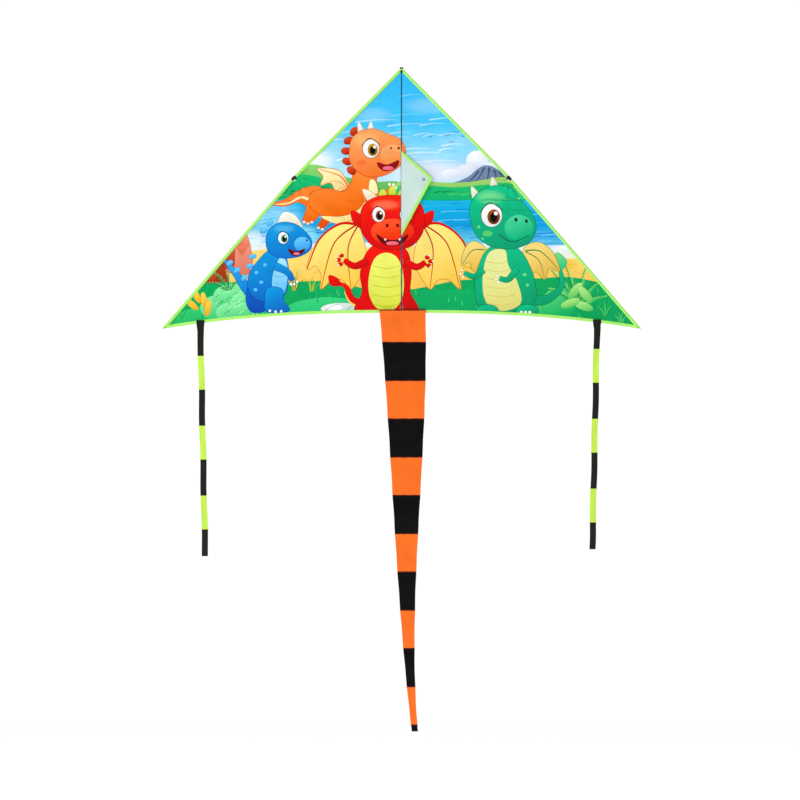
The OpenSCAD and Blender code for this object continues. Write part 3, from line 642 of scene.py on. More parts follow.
small_eye(1.0, 30.8, 1.3, 1.55, (150, 84, 30), look=-0.15, lid=(110, 10, 10))

# Blue dragon, at the left
NAVY = (14, 66, 156)
AZURE = (34, 154, 224)
COBALT = (14, 104, 190)
brush([(-28.6, 48.4), (-32.0, 46.6), (-34.6, 43.4), (-37.2, 40.2)], 3.4, 0.3, (60, 172, 240), COBALT,
      line=NAVY,
      width=0.08)
for sx, sy, turn in ((-36.0, 41.0, 50), (-34.5, 42.5, 52), (-33.0, 44.1, 50), (-31.8, 41.6, 70),
                     (-31.2, 39.6, 78),
                     (-28.9, 34.2, 60), (-27.6, 32.6, 40)):
    oval(sx, sy, 0.5, 0.8, (120, 214, 250), (64, 168, 236), turn=turn, line=NAVY, width=0.05)
blob([(-31.8, 45.6), (-28.8, 45.4), (-27.8, 48.0), (-28.4, 50.8), (-31.4, 51.2), (-32.6, 48.6)], COBALT,
     (10, 80, 178),
     line=NAVY)
blob([(-29.6, 40.0), (-27.4, 38.2), (-24.8, 38.6), (-23.8, 41.4), (-23.8, 44.6), (-24.6, 47.6), (-28.0, 49.2),
      (-31.6, 47.4), (-32.0, 43.6)], AZURE, COBALT, line=NAVY)
blob([(-25.4, 39.8), (-24.0, 41.2), (-24.0, 45.2), (-25.0, 47.8), (-26.8, 47.6), (-27.0, 43.6)],
     (166, 228, 250),
     (96, 190, 238), line=(40, 120, 200), width=0.05)
for band in range(4):
    brush([(-26.8, 42.0 + band * 1.5), (-25.4, 42.4 + band * 1.5), (-24.1, 42.0 + band * 1.5)], 0.1, 0.08,
          (70, 166, 226))
blob([(-28.0, 46.2), (-25.2, 46.4), (-24.6, 49.0), (-23.6, 51.0), (-28.2, 51.2), (-28.6, 48.6)], AZURE,
     COBALT,
     line=NAVY)
for px, py in ((-30.4, 43.0), (-29.4, 45.0), (-30.6, 46.6), (-28.6, 41.4)):
    oval(px, py, 0.42, 0.36, (110, 206, 250), (74, 178, 240))
brush([(-26.6, 41.6), (-24.0, 42.8), (-22.8, 44.6)], 1.7, 1.0, AZURE, COBALT, line=NAVY, width=0.08)
for tx, ty in ((-23.2, 45.4), (-22.5, 45.4), (-21.9, 44.9), (-27.6, 51.0), (-26.4, 51.2), (-25.2, 51.1)):
    oval(tx, ty, 0.26, 0.3, (255, 255, 252), line=NAVY, width=0.04)
blob([(-25.6, 33.0), (-24.8, 30.4), (-22.4, 30.9), (-20.9, 33.6)], (255, 253, 240), (222, 216, 190),
     line=(120, 130, 150), width=0.06)
blob([(-28.4, 36.4), (-27.6, 33.8), (-25.2, 32.5), (-22.4, 32.8), (-20.4, 34.2), (-18.9, 36.2), (-19.2, 38.2),
      (-21.6, 39.6), (-25.0, 39.9), (-27.6, 38.8)], (38, 158, 226), (14, 110, 196), line=NAVY)
haze(-24.6, 33.8, 2.6, 1.1, (120, 206, 246), 0.45)
oval(-20.8, 37.0, 1.7, 1.5, (110, 200, 248), (58, 154, 228))
oval(-19.8, 36.2, 0.2, 0.24, (10, 40, 100), turn=20)
blob([(-23.8, 38.0), (-22.0, 38.5), (-20.2, 38.0), (-21.2, 39.2), (-22.8, 39.4)], (120, 14, 44), (90, 8, 34),
     line=NAVY, width=0.05)
oval(-22.0, 39.0, 0.7, 0.28, (246, 130, 158))
small_eye(-24.8, 35.7, 1.05, 1.25, (40, 150, 110), lid=(10, 44, 110))

# Green dragon, at the right
PINE = (0, 112, 74)
LEAF = (40, 196, 138)
MOSS = (8, 156, 108)
brush([(26.0, 48.8), (30.4, 48.6), (33.6, 45.6), (33.0, 41.4)], 2.4, 0.5, LEAF, MOSS, line=PINE, width=0.08)
blob([(33.4, 42.4), (31.4, 41.0), (32.6, 38.8), (34.6, 40.6)], (120, 222, 130), LEAF, line=PINE, width=0.07)
for points in ([(17.6, 38.0), (15.0, 36.4), (13.2, 38.2), (12.6, 41.4), (14.2, 40.8), (15.0, 42.6),
                (17.0, 41.8)],
               [(25.6, 38.2), (28.6, 36.6), (31.6, 38.6), (33.2, 42.6), (31.0, 42.0), (30.0, 44.4),
                (28.2, 42.8),
                (26.2, 43.8)]):
    blob(points, (250, 222, 130), (234, 184, 78), line=(44, 132, 70), width=0.1)
brush([(26.0, 38.4), (29.2, 38.6), (33.0, 42.4)], 0.3, 0.1, (40, 140, 74))
brush([(26.0, 38.6), (28.8, 40.4), (30.0, 44.2)], 0.24, 0.08, (40, 140, 74))
brush([(17.4, 38.2), (14.8, 38.4), (12.8, 41.2)], 0.26, 0.1, (40, 140, 74))
blob([(18.0, 38.2), (21.0, 37.0), (24.4, 38.0), (26.6, 41.0), (28.0, 45.2), (27.6, 49.4), (22.0, 51.4),
      (16.6, 50.4),
      (15.4, 46.0), (16.2, 41.6)], LEAF, MOSS, line=PINE)
blob([(18.2, 39.0), (21.6, 38.2), (22.4, 41.4), (24.4, 45.2), (25.0, 49.4), (21.2, 51.0), (17.8, 49.2),
      (17.0, 44.6)],
     (236, 242, 166), (222, 216, 120), line=(60, 150, 80), width=0.07)
for band in range(6):
    by, lean = 40.6 + band * 1.75, band * 0.22
    brush([(17.5 + lean * 0.2, by), (20.2 + lean, by + 0.45), (22.4 + lean * 1.5, by)], 0.12, 0.1,
          (214, 190, 92))
for fx in (18.0, 26.4):
    oval(fx, 51.0, 2.3, 1.3, LEAF, MOSS, line=PINE)
    for toe in (-1.3, -0.4, 0.5):
        oval(fx + toe, 51.3, 0.32, 0.3, (255, 255, 246), line=PINE, width=0.04)
brush([(17.2, 42.4), (15.2, 43.8), (13.2, 43.0)], 1.4, 0.9, LEAF, MOSS, line=PINE, width=0.08)
brush([(24.2, 42.2), (22.4, 44.4), (20.6, 44.2)], 1.5, 0.9, LEAF, MOSS, line=PINE, width=0.08)
for tx, ty in ((12.6, 42.4), (12.4, 43.2), (12.9, 43.9), (20.0, 43.6), (19.8, 44.4), (20.3, 45.0)):
    oval(tx, ty, 0.27, 0.25, (255, 255, 246), line=PINE, width=0.04)
for root, top in (((15.8, 27.4), (14.7, 24.9)), ((19.4, 25.2), (19.0, 22.9))):
    blob([(root[0] - 0.8, root[1] + 0.2), top, (root[0] + 0.9, root[1] - 0.2)], (255, 253, 236),
         (214, 214, 180),
         line=(90, 130, 90), width=0.06)
blob([(23.0, 25.6), (25.4, 22.8), (27.0, 24.6), (25.6, 27.8)], (110, 218, 130), LEAF, line=PINE, width=0.08)
blob([(14.5, 31.8), (14.6, 28.4), (16.8, 25.7), (20.4, 24.7), (23.4, 25.6), (25.2, 28.0), (27.2, 30.4),
      (28.2, 33.4),
      (27.0, 36.4), (23.6, 37.9), (19.2, 37.6), (15.9, 35.4)], (30, 200, 142), (4, 160, 116), line=PINE)
haze(18.6, 27.2, 3.6, 1.7, (136, 230, 150), 0.7)
oval(24.6, 33.6, 3.0, 2.7, (80, 218, 160), (26, 180, 126))
oval(24.0, 31.9, 0.34, 0.44, (0, 62, 40), turn=-20)
oval(26.2, 32.2, 0.3, 0.4, (0, 62, 40), turn=-20)
brush([(20.4, 35.0), (23.2, 36.5), (26.8, 35.2)], 0.18, 0.14, (0, 78, 46))
oval(18.0, 34.8, 1.1, 0.6, (96, 206, 116))
for sx, sy, r in ((16.2, 33.4, 0.34), (17.0, 35.9, 0.26), (25.8, 43.4, 0.4), (26.4, 45.6, 0.34),
                  (24.6, 27.4, 0.3)):
    oval(sx, sy, r, r * 0.85, (120, 222, 130))
small_eye(18.9, 31.0, 2.15, 2.4, (170, 92, 46), look=0.2, lid=(0, 74, 46))


def inside(points, outline):
    """Which points lie inside a closed outline."""
    found = np.zeros(len(points), bool)
    near = np.flatnonzero(np.all((points >= outline.min(0)) & (points <= outline.max(0)), axis=1))
    if not len(near):
        return found
    x, y = points[near, 0], points[near, 1]
    hit = np.zeros(len(near), bool)
    for (x0, y0), (x1, y1) in zip(outline, np.roll(outline, -1, 0)):
        if y0 != y1:
            hit ^= ((y0 > y) != (y1 > y)) & (x < (x1 - x0) * (y - y0) / (y1 - y0) + x0)
    found[near] = hit
    return found


def ink_colours(corners, middles):
    """The print's colour at each corner of each triangle, in linear light."""
    colour = np.ones((len(middles), 3, 3))
    for patch in prints:
        if patch["soft"]:
            off = (corners - np.array(patch["centre"])) / np.array(patch["size"])
            fade = np.clip(1 - np.sum(off ** 2, axis=2), 0, 1)
            fade = (fade * fade * (3 - 2 * fade) * patch["strength"])[..., None]
            colour = colour * (1 - fade) + patch["light"] * fade
            continue
        chosen = inside(middles, patch["outline"])
        if chosen.any():
            reach = (corners[chosen] @ patch["toward"] - patch["from"]) / max(patch["to"] - patch["from"],
                                                                              1e-6)
            t = np.clip(reach, 0, 1)[..., None]
            colour[chosen] = patch["light"] * (1 - t) + patch["dark"] * t
    return np.clip(colour * 1.06 - 0.02, 0.001, 1)


def sail_outline():
    """The cut edge of a wing's cloth in metres, from the nose round by the tip to the spine."""
    margin = 0.004
    upper_in, lower_in = inward(UPPER_RUN), inward(LOWER_RUN)
    route = [np.array([0.0, -margin / UPPER_RUN[0]])]
    route.append(KNEE - UPPER_RUN * FITTING_HALF_GAP + upper_in * margin)
    route.append(KNEE - UPPER_RUN * (FITTING_HALF_GAP - 0.001) + upper_in * (FITTING_GAP_DEPTH - 0.002))
    route.append(KNEE - UPPER_RUN * (FITTING_HALF_GAP - 0.003) + upper_in * FITTING_GAP_DEPTH)
    route.append(KNEE + LOWER_RUN * (FITTING_HALF_GAP - 0.003) + lower_in * FITTING_GAP_DEPTH)
    route.append(KNEE + LOWER_RUN * (FITTING_HALF_GAP - 0.001) + lower_in * (FITTING_GAP_DEPTH - 0.002))
    route.append(KNEE + LOWER_RUN * FITTING_HALF_GAP + lower_in * margin)
    x_end = 0.4915
    route.append(np.array([x_end, trail_z(x_end) + SAIL_TUCK + 0.001]))
    for x in np.linspace(x_end - 0.006, 0, 70):
        route.append(np.array([x, trail_z(x) + SAIL_TUCK]))
    return np.array(route)


def printed_sail(side):
    """Triangles cut along every edge of the print, so that each edge stays crisp."""
    edge = sail_outline() * 1000
    loops = [edge]
    low_x, high_x = (-2, 52)
    for patch in prints:
        if patch["soft"]:
            continue
        outline = patch["outline"] * np.array([10.0 * side, -10.0])
        outline[:, 0] = np.clip(outline[:, 0], low_x * 10, high_x * 10)
        outline[:, 1] = np.clip(outline[:, 1], -600, 20)
        if np.ptp(outline[:, 0]) > 0.2 and np.ptp(outline[:, 1]) > 0.2:
            loops.append(outline)
    points, edges = [], []
    for loop in loops:
        first = len(points)
        points += [Vector(p) for p in loop]
        edges += [(first + k, first + (k + 1) % len(loop)) for k in range(len(loop))]
    spacing = 6.0
    for row, z in enumerate(np.arange(-3, -552, -spacing)):
        for x in np.arange(spacing * (0.25 if row % 2 else 0.75), 500, spacing):
            if x < edge_x(z / 1000) * 1000 - 4 and z > trail_z(x / 1000) * 1000 + 5:
                points.append(Vector((x, z)))
    verts, _, faces, _, _, _ = delaunay_2d_cdt(points, edges, [], 0, 0.02, False)
    flat = np.array([tuple(v) for v in verts])
    faces = np.array([tuple(f) for f in faces if len(f) == 3])
    corners = flat[faces]
    middles = corners.mean(1)
    keep = inside(middles, edge)
    faces, corners, middles = faces[keep], corners[keep], middles[keep]
    cross = np.cross(corners[:, 1] - corners[:, 0], corners[:, 2] - corners[:, 0])
    solid = np.abs(cross) > 0.002
    faces, corners, middles, cross = faces[solid], corners[solid], middles[solid], cross[solid]
    shades = ink_colours(corners * np.array([0.1 * side, -0.1]), middles * np.array([0.1 * side, -0.1]))
    used, faces = np.unique(faces, return_inverse=True)
    faces = faces.reshape(-1, 3)
    flat = flat[used] / 1000
    # The print faces the front: seen from there, its triangles run anticlockwise.
    turned = (cross > 0) == (side > 0)
    faces[~turned] = faces[~turned][:, ::-1]
    shades[~turned] = shades[~turned][:, ::-1]
    place = np.stack([flat[:, 0] * side, sail_y(flat[:, 0], flat[:, 1]), flat[:, 1]], 1)
    return place, faces, shades


def cloth_mesh(name, places, faces, uvs=None, colours=None):
    """A mesh object with its flat cut in metres as UV map, and a print if it has one."""
    mesh = bpy.data.meshes.new(name)
    mesh.from_pydata([tuple(map(float, p)) for p in places], [], [tuple(map(int, f)) for f in faces])
    loops = np.zeros(len(mesh.loops), int)
    mesh.loops.foreach_get("vertex_index", loops)
    flat = places[:, [0, 2]] if uvs is None else uvs
    layer = mesh.uv_layers.new(name="cut")
    layer.data.foreach_set("uv", np.asarray(flat, np.float32)[loops].ravel())
    if colours is not None:
        attribute = mesh.color_attributes.new("print", "FLOAT_COLOR", "CORNER")
        rgba = np.ones((len(mesh.loops), 4), np.float32)
        rgba[:, :3] = colours.reshape(-1, 3)
        attribute.data.foreach_set("color", rgba.ravel())
    mesh.polygons.foreach_set("use_smooth", [True] * len(mesh.polygons))
    piece = bpy.data.objects.new(name, mesh)
    bpy.context.collection.objects.link(piece)
    return piece


def grid_faces(rows, cells):
    """The quads of a grid whose points run along each row in turn."""
    wide = cells + 1
    return [(r * wide + k, (r + 1) * wide + k, (r + 1) * wide + k + 1, r * wide + k + 1)
            for r in range(rows) for k in range(cells)]


def select_only(piece):
    bpy.ops.object.select_all(action="DESELECT")
    bpy.context.view_layer.objects.active = piece
    piece.select_set(True)


def finish_modifier(piece, kind, **settings):
    select_only(piece)
    modifier = piece.modifiers.new(kind.title(), kind)
    for key, value in settings.items():
        setattr(modifier, key, value)
    bpy.ops.object.modifier_apply(modifier=modifier.name)
    bpy.ops.object.shade_smooth_by_angle(angle=0.7)


SHEEN = 0.03


def woven(name, colour=None, printed=False, faded=0.0, roughness=0.5, pitch=0.0005, crease=0.5,
          variation=0.06, alpha=1.0, specular=0.1):
    """Thin woven polyester: crossed threads, soft creases and a little unevenness in the dye."""
    material, tree, shader = new_material(name)
    cut = node(tree, "UVMap", uv_map="cut")
    split = node(tree, "SeparateXYZ", {0: cut.outputs[0]})
    threads = []
    for axis in (0, 1):
        scaled = node(tree, "Math", {0: split.outputs[axis], 1: 2 * math.pi / pitch}, operation="MULTIPLY")
        threads.append(node(tree, "Math", {0: scaled.outputs[0]}, operation="SINE"))
    weave = node(tree, "Math", {0: threads[0].outputs[0], 1: threads[1].outputs[0]}, operation="MULTIPLY")
    broad = node(tree, "TexNoise", {"Vector": cut.outputs[0], "Scale": 14.0, "Detail": 4.0,
                                    "Roughness": 0.55})
    fine = node(tree, "TexNoise", {"Vector": cut.outputs[0], "Scale": 420.0, "Detail": 2.0})
    if printed:
        base = node(tree, "VertexColor", layer_name="print").outputs[0]
    else:
        base = node(tree, "RGB").outputs[0]
        base.default_value = tuple(colour) + (1,)
    if faded:
        base = node(tree, "MixRGB", {0: faded, 1: base, 2: (0.92, 0.93, 0.94, 1)}).outputs[0]
    uneven = node(tree, "MapRange", {"Value": broad.outputs[0], "From Min": 0.3, "From Max": 0.7,
                                     "To Min": 1 - variation, "To Max": 1 + variation * 0.6})
    speck = node(tree, "MapRange", {"Value": fine.outputs[0], "To Min": 0.965, "To Max": 1.035})
    thread = node(tree, "MapRange", {"Value": weave.outputs[0], "From Min": -1.0, "To Min": 0.97,
                                     "To Max": 1.02})
    shade = node(tree, "Math", {0: uneven.outputs[0], 1: speck.outputs[0]}, operation="MULTIPLY")
    shade = node(tree, "Math", {0: shade.outputs[0], 1: thread.outputs[0]}, operation="MULTIPLY")
    scaled = node(tree, "VectorMath", {0: base, "Scale": shade.outputs[0]}, operation="SCALE")
    tree.links.new(scaled.outputs[0], shader.inputs["Base Color"])
    rough = node(tree, "MapRange", {"Value": broad.outputs[0], "To Min": roughness - 0.07,
                                    "To Max": roughness + 0.07})
    tree.links.new(rough.outputs[0], shader.inputs["Roughness"])
    soft = node(tree, "Bump", {"Height": broad.outputs[0], "Strength": crease, "Distance": 0.004})
    tight = node(tree, "Bump", {"Height": weave.outputs[0], "Strength": 0.12, "Distance": 0.00006,
                                "Normal": soft.outputs[0]})
    tree.links.new(tight.outputs[0], shader.inputs["Normal"])
    shader.inputs["Sheen Weight"].default_value = SHEEN
    shader.inputs["Sheen Roughness"].default_value = 0.4
    shader.inputs["Specular IOR Level"].default_value = specular
    shader.inputs["Alpha"].default_value = alpha
    return material


print_front = woven("printed polyester", printed=True)
print_back = woven("printed polyester, wrong side", printed=True, faded=0.34, roughness=0.6)

for side_name, side in (("right", 1), ("left", -1)):
    places, faces, shades = printed_sail(side)
    sail = cloth_mesh(f"printed_sail_{side_name}", places, faces, colours=shades)
    sail.data.materials.append(print_front)
    sail.data.materials.append(print_back)
    finish_modifier(sail, "SOLIDIFY", thickness=CLOTH_THICKNESS, offset=0, material_offset=1)
    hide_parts(f"sail_{side_name}")
    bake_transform(sail)


# ---------------------------------------------------------------- Leading edge tapes
# A folded lime tape is sewn along each leading edge and makes the tube for the spars.
# It is open at the fitting, and comes to a flat point at the wing tip.
TAPE_WIDTH = 0.0060
TIP_ANGLE = 0.690
lime = woven("lime edge tape", tint(176, 244, 112), roughness=0.55, pitch=0.0007, crease=0.35,
             variation=0.05)
thread_lime = woven("lime thread", tint(205, 255, 170), roughness=0.5, pitch=0.0003, crease=0.1)
tape_profile = [(1.0, -0.00042), (0.91, -0.00047), (0.83, -0.00056), (0.75, -0.00105), (0.67, -0.0018),
                (0.55, -0.00244), (0.39, -0.0027), (0.20, -0.0024), (0.06, -0.00142), (0.0, 0.0)]
tape_profile += [(u, -y) for u, y in tape_profile[-2::-1]]


def strip_cut(rings):
    """Where each point of a row of profiles lies on the flat strip."""
    count, size = rings.shape[:2]
    girth = np.concatenate([[0], np.cumsum(np.linalg.norm(np.diff(rings[count // 2], axis=0), axis=1))])
    runs = np.concatenate([[0], np.cumsum(np.linalg.norm(np.diff(rings.mean(1), axis=0), axis=1))])
    return np.stack([np.repeat(runs, size), np.tile(girth, count)], 1)


def folded_strip(name, rings, material, thickness=0.0003):
    """A strip of tape laid over a row of open profiles, from its one long edge to the other."""
    rings = np.asarray(rings)
    count, size = rings.shape[:2]
    faces = [(r * size + k, r * size + k + 1, (r + 1) * size + k + 1, (r + 1) * size + k)
             for r in range(count - 1) for k in range(size - 1)]
    piece = cloth_mesh(name, rings.reshape(-1, 3), faces, uvs=strip_cut(rings))
    piece.data.materials.append(material)
    finish_modifier(piece, "SOLIDIFY", thickness=thickness, offset=0)
    return piece


def loft(name, rings, material):
    """A closed skin over a row of closed rings, with its ends closed."""
    rings = np.asarray(rings)
    count, size = rings.shape[:2]
    faces = [(r * size + k, r * size + (k + 1) % size, (r + 1) * size + (k + 1) % size, (r + 1) * size + k)
             for r in range(count - 1) for k in range(size)]
    faces.append(tuple(range(size))[::-1])
    faces.append(tuple((count - 1) * size + k for k in range(size)))
    piece = cloth_mesh(name, rings.reshape(-1, 3), faces, uvs=strip_cut(rings))
    piece.data.materials.append(material)
    select_only(piece)
    bpy.ops.object.mode_set(mode="EDIT")
    bpy.ops.mesh.select_all(action="SELECT")
    bpy.ops.mesh.remove_doubles(threshold=1e-6)
    bpy.ops.mesh.normals_make_consistent(inside=False)
    bpy.ops.object.mode_set(mode="OBJECT")
    return piece


STITCH_STEP = 0.002


def stitches(name, route, facing, material, length=0.0024, gap=0.0013, width=0.0005, proud=0.00025):
    """A row of short raised threads along a route, each a low ridge."""
    route = np.asarray(route, float)
    facing = np.broadcast_to(np.asarray(facing, float), route.shape)
    run = np.concatenate([[0], np.cumsum(np.linalg.norm(np.diff(route, axis=0), axis=1))])
    starts = np.arange(gap, run[-1] - length, length + gap)

    def at(s, values):
        return np.stack([np.interp(s, run, values[:, k]) for k in range(3)], 1)

    a, b, up = at(starts, route), at(starts + length, route), at(starts + length / 2, facing)
    along = (b - a) / np.linalg.norm(b - a, axis=1)[:, None]
    across = np.cross(along, up)
    across *= width / 2 / np.linalg.norm(across, axis=1)[:, None]
    ridge = up * proud
    rise = along * length * 0.22
    corners = np.stack([a - across, a + across, b + across, b - across, a + rise + ridge, b - rise + ridge],
                       1)
    faces = []
    for n in range(len(starts)):
        k = n * 6
        faces += [(k + 1, k, k + 3, k + 2), (k, k + 1, k + 4), (k + 2, k + 3, k + 5),
                  (k + 1, k + 2, k + 5, k + 4),
                  (k + 3, k, k + 4, k + 5)]
    row = cloth_mesh(name, corners.reshape(-1, 3), faces)
    row.data.polygons.foreach_set("use_smooth", [False] * len(row.data.polygons))
    row.data.materials.append(material)
    return row


def tape_rings(start, run, reach_from, reach_to, side, to_tip):
    rings = []
    steps = max(12, int((reach_to - reach_from) / 0.004))
    for s in np.linspace(reach_from, reach_to, steps):
        width, bulge = TAPE_WIDTH, 1.0
        if to_tip:
            left = max(reach_to + 0.0005 - s, 0.0004)
            width = min(TAPE_WIDTH, left * math.tan(TIP_ANGLE))
            bulge = np.clip((left - 0.0006) / 0.005, 0.06, 1)
        sway = 0.00025 * math.sin(s * 190) * math.sin(s * 47 + 1)
        ring = []
        for u, y in tape_profile:
            place = start + run * s + inward(run) * u * width
            ring.append((max(place[0], 0) * side, y * bulge + sway * u, place[1]))
        rings.append(ring)
    return rings


for side_name, side in (("right", 1), ("left", -1)):
    upper = folded_strip(f"leading_tape_{side_name}",
                         tape_rings(np.zeros(2), UPPER_RUN, 0.002, UPPER_LENGTH - FITTING_HALF_GAP, side,
                                    False), lime)
    lower = folded_strip(f"leading_tape_lower_{side_name}",
                         tape_rings(KNEE, LOWER_RUN, FITTING_HALF_GAP, LOWER_LENGTH - 0.0005, side, True),
                         lime)
    for part_name, start, run, low, high in (("upper", np.zeros(2), UPPER_RUN, 0.016, UPPER_LENGTH - 0.009),
                                             ("lower", KNEE, LOWER_RUN, 0.009, LOWER_LENGTH - 0.018)):
        s = np.arange(low, high, STITCH_STEP)
        line = start + run * s[:, None] + inward(run) * 0.0055
        for face_name, y, facing in (("front", -0.00062, (0, -1, 0)), ("back", 0.00062, (0, 1, 0))):
            route = np.stack([line[:, 0] * side, np.full(len(s), y), line[:, 1]], 1)
            row = stitches(f"tape_stitches_{part_name}_{face_name}_{side_name}", route, facing, thread_lime)
            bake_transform(row)
    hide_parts(f"leading_sleeve_{side_name}")
    for piece in (upper, lower):
        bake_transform(piece)


# ---------------------------------------------------------------- Trailing hem
# The same tape, folded flat over the free lower edge of each wing and sewn through once.
HEM_WIDTH = 0.0060
HEM_STITCH_UP = 0.0048           # how far above the hem's edge it is sewn
HEM_STITCH_END = 0.484           # the stitches stop short of the wing tip
hem_profile = [(1.0, -0.00044), (0.8, -0.00058), (0.45, -0.00062), (0.15, -0.00056), (0.03, -0.00034),
               (0.0, 0.0)]
hem_profile += [(u, -y) for u, y in hem_profile[-2::-1]]


def hem_point(x, up, y, side):
    """A point of the hem: up from the trailing edge, and y out from the cloth."""
    x = min(x, HALF_SPAN)
    slope = (trail_z(x + 0.0005) - trail_z(x - 0.0005)) / 0.001
    turn = math.atan(slope)
    px, pz = x - math.sin(turn) * up, trail_z(x) + math.cos(turn) * up
    return (max(px, 0) * side, float(sail_y(px, pz)) * min(1, (HALF_SPAN - x) / 0.03) + y, pz)


for side_name, side in (("right", 1), ("left", -1)):
    rings = []
    for x in np.linspace(0, HALF_SPAN - 0.0012, 128):
        width = min(HEM_WIDTH, max(HALF_SPAN - x, 0.001) * math.tan(TIP_ANGLE) * 0.96)
        rings.append([hem_point(x, u * width, y, side) for u, y in hem_profile])
    hem = folded_strip(f"trailing_hem_tape_{side_name}", rings, lime)
    rows = []
    for face_name, y, facing in (("front", -0.00074, (0, -1, 0)), ("back", 0.00074, (0, 1, 0))):
        route = [hem_point(x, HEM_STITCH_UP, y, side) for x in np.arange(0.004, HEM_STITCH_END, STITCH_STEP)]
        row = stitches(f"hem_stitches_{face_name}_{side_name}", route, facing, thread_lime)
        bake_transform(row)
        rows.append(row)
    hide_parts(f"trailing_hem_{side_name}")
    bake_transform(hem)


# ---------------------------------------------------------------- Centre seam and spine sleeve
# The wings meet in a sewn seam down the middle. Behind it a lime tape makes the tube for
# the spine. In front the seam is a narrow raised line with close stitches, coloured dark blue
# as painted shade along the seam.
# The seam ridge's dark blue is painted shade along the seam, not a trim of its own.
seam_ridge_painted_shade = woven("dark blue seam ridge, painted shade", tint(18, 66, 104), roughness=0.55, pitch=0.0004, crease=0.2)
thread_blue = woven("blue thread", tint(70, 140, 176), roughness=0.5, pitch=0.0003, crease=0.1)
sleeve_profile = [(-0.0029, 0.0003), (-0.0023, 0.00075), (-0.0022, 0.0017), (-0.0021, 0.0028),
                  (-0.0014, 0.0039),
                  (0.0, 0.00435), (0.0014, 0.0039), (0.0021, 0.0028), (0.0022, 0.0017), (0.0023, 0.00075),
                  (0.0029, 0.0003)]
rings = []
for z in np.linspace(-0.013, -0.5136, 110):
    slack = 1 + 0.045 * math.sin(z * 83) * math.sin(z * 29)
    rings.append([(x * slack, y, z) for x, y in sleeve_profile])
sleeve = folded_strip("spine_sleeve_tape", rings, lime, thickness=0.00025)
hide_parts("spine_sleeve")
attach(sleeve, "frame")
rings = []
for z in np.linspace(-0.010, -0.507, 120):
    x0 = 0.00018 * math.sin(z * 131)
    rings.append([(x0 - 0.0009, -0.00012, z), (x0 - 0.0006, -0.00042, z), (x0, -0.00055, z),
                  (x0 + 0.0006, -0.00042, z),
                  (x0 + 0.0009, -0.00012, z), (x0, 0.0, z)])
# The seam's raised line, in the dark blue of the painted seam shade.
seam = loft("centre_seam_ridge_painted_shade", rings, seam_ridge_painted_shade)
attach(seam, "frame")
z = np.arange(-0.018, -0.506, -0.003)
for side in (-1, 1):
    route = np.stack([np.full(len(z), 0.0014 * side), np.full(len(z), -0.00016), z], 1)
    row = stitches(f"seam_stitches_{'right' if side > 0 else 'left'}", route, (0, -1, 0), thread_blue,
                   width=0.0003,
                   proud=0.00012)
    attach(row, "frame")
z = np.arange(-0.018, -0.508, -0.003)
for side in (-1, 1):
    route = np.stack([np.full(len(z), 0.0026 * side), np.full(len(z), 0.00052), z], 1)
    row = stitches(f"sleeve_stitches_{'right' if side > 0 else 'left'}", route, (0, 1, 0), thread_lime,
                   width=0.0004)
    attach(row, "frame")


# ---------------------------------------------------------------- Nose patch
# A short length of dark webbing folded over the nose makes the pocket for the spine's top end.
webbing = woven("dark webbing", tint(26, 44, 38), roughness=0.7, pitch=0.0012, crease=0.5, variation=0.25)
route = [(-0.00135, -0.0100), (-0.00142, -0.0060), (-0.0013, -0.0026), (-0.0008, -0.0006), (0.0004, 0.0000),
         (0.0020, -0.0001), (0.0034, -0.0007), (0.0042, -0.0026), (0.00435, -0.0070), (0.0043, -0.0110),
         (0.0043, -0.0149)]
fine = smooth_path(np.array(route) * 1000, closed=False, fineness=0.9) / 1000
outward = np.gradient(fine, axis=0) @ np.array([[0, 1], [-1, 0]])
outward /= np.linalg.norm(outward, axis=1)[:, None]
rings = []
for (y, z), (ny, nz) in zip(fine, outward):
    ring = []
    for x, lift in ((-0.0035, 0.0001), (-0.0028, 0.0003), (-0.0015, 0.00035), (0.0, 0.0003),
                    (0.0015, 0.00035),
                    (0.0028, 0.0003), (0.0035, 0.0001)):
        ring.append((x, y + ny * lift, z + nz * lift))
    rings.append(ring)
patch = folded_strip("nose_webbing_pocket", rings, webbing, thickness=0.0006)
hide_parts("nose_patch")
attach(patch, "frame")


# ---------------------------------------------------------------- Keel flap
# A three-cornered flap of thin white polyester is caught in the centre seam and lies folded
# on the right wing. Its two free edges are bound with lime tape, and it carries the eyelet.
KEEL_Y = -0.0016
KEEL_TOP = np.array([0.0005, -0.175])
KEEL_POINT = np.array([0.065, -0.232])
KEEL_BOTTOM = np.array([0.0005, -0.352])
KEEL_TAPE = 0.0055
white_cloth = woven("thin white polyester", tint(228, 250, 244), roughness=0.45, pitch=0.0005, crease=0.6,
                    variation=0.05, alpha=0.68)


def keel_y(x, z):
    """The flap's loft: flat at the seam, and a little clear of the wing at its point."""
    across = np.clip(np.asarray(x) / KEEL_POINT[0], 0, 1)
    fold = 0.0007 * np.sin(np.asarray(z) * 95 + np.asarray(x) * 60) * across
    return KEEL_Y - 0.0022 * across ** 1.6 * (1 - 0.35 * across) + fold * (1 - across)


def keel_edge_x(z):
    upper = KEEL_TOP[0] + (KEEL_TOP[1] - z) / (KEEL_TOP[1] - KEEL_POINT[1]) * (KEEL_POINT[0] - KEEL_TOP[0])
    lower = KEEL_BOTTOM[0] + (z - KEEL_BOTTOM[1]) / (KEEL_POINT[1] - KEEL_BOTTOM[1]) * (KEEL_POINT[0] - KEEL_BOTTOM[0])
    return upper if z > KEEL_POINT[1] else lower


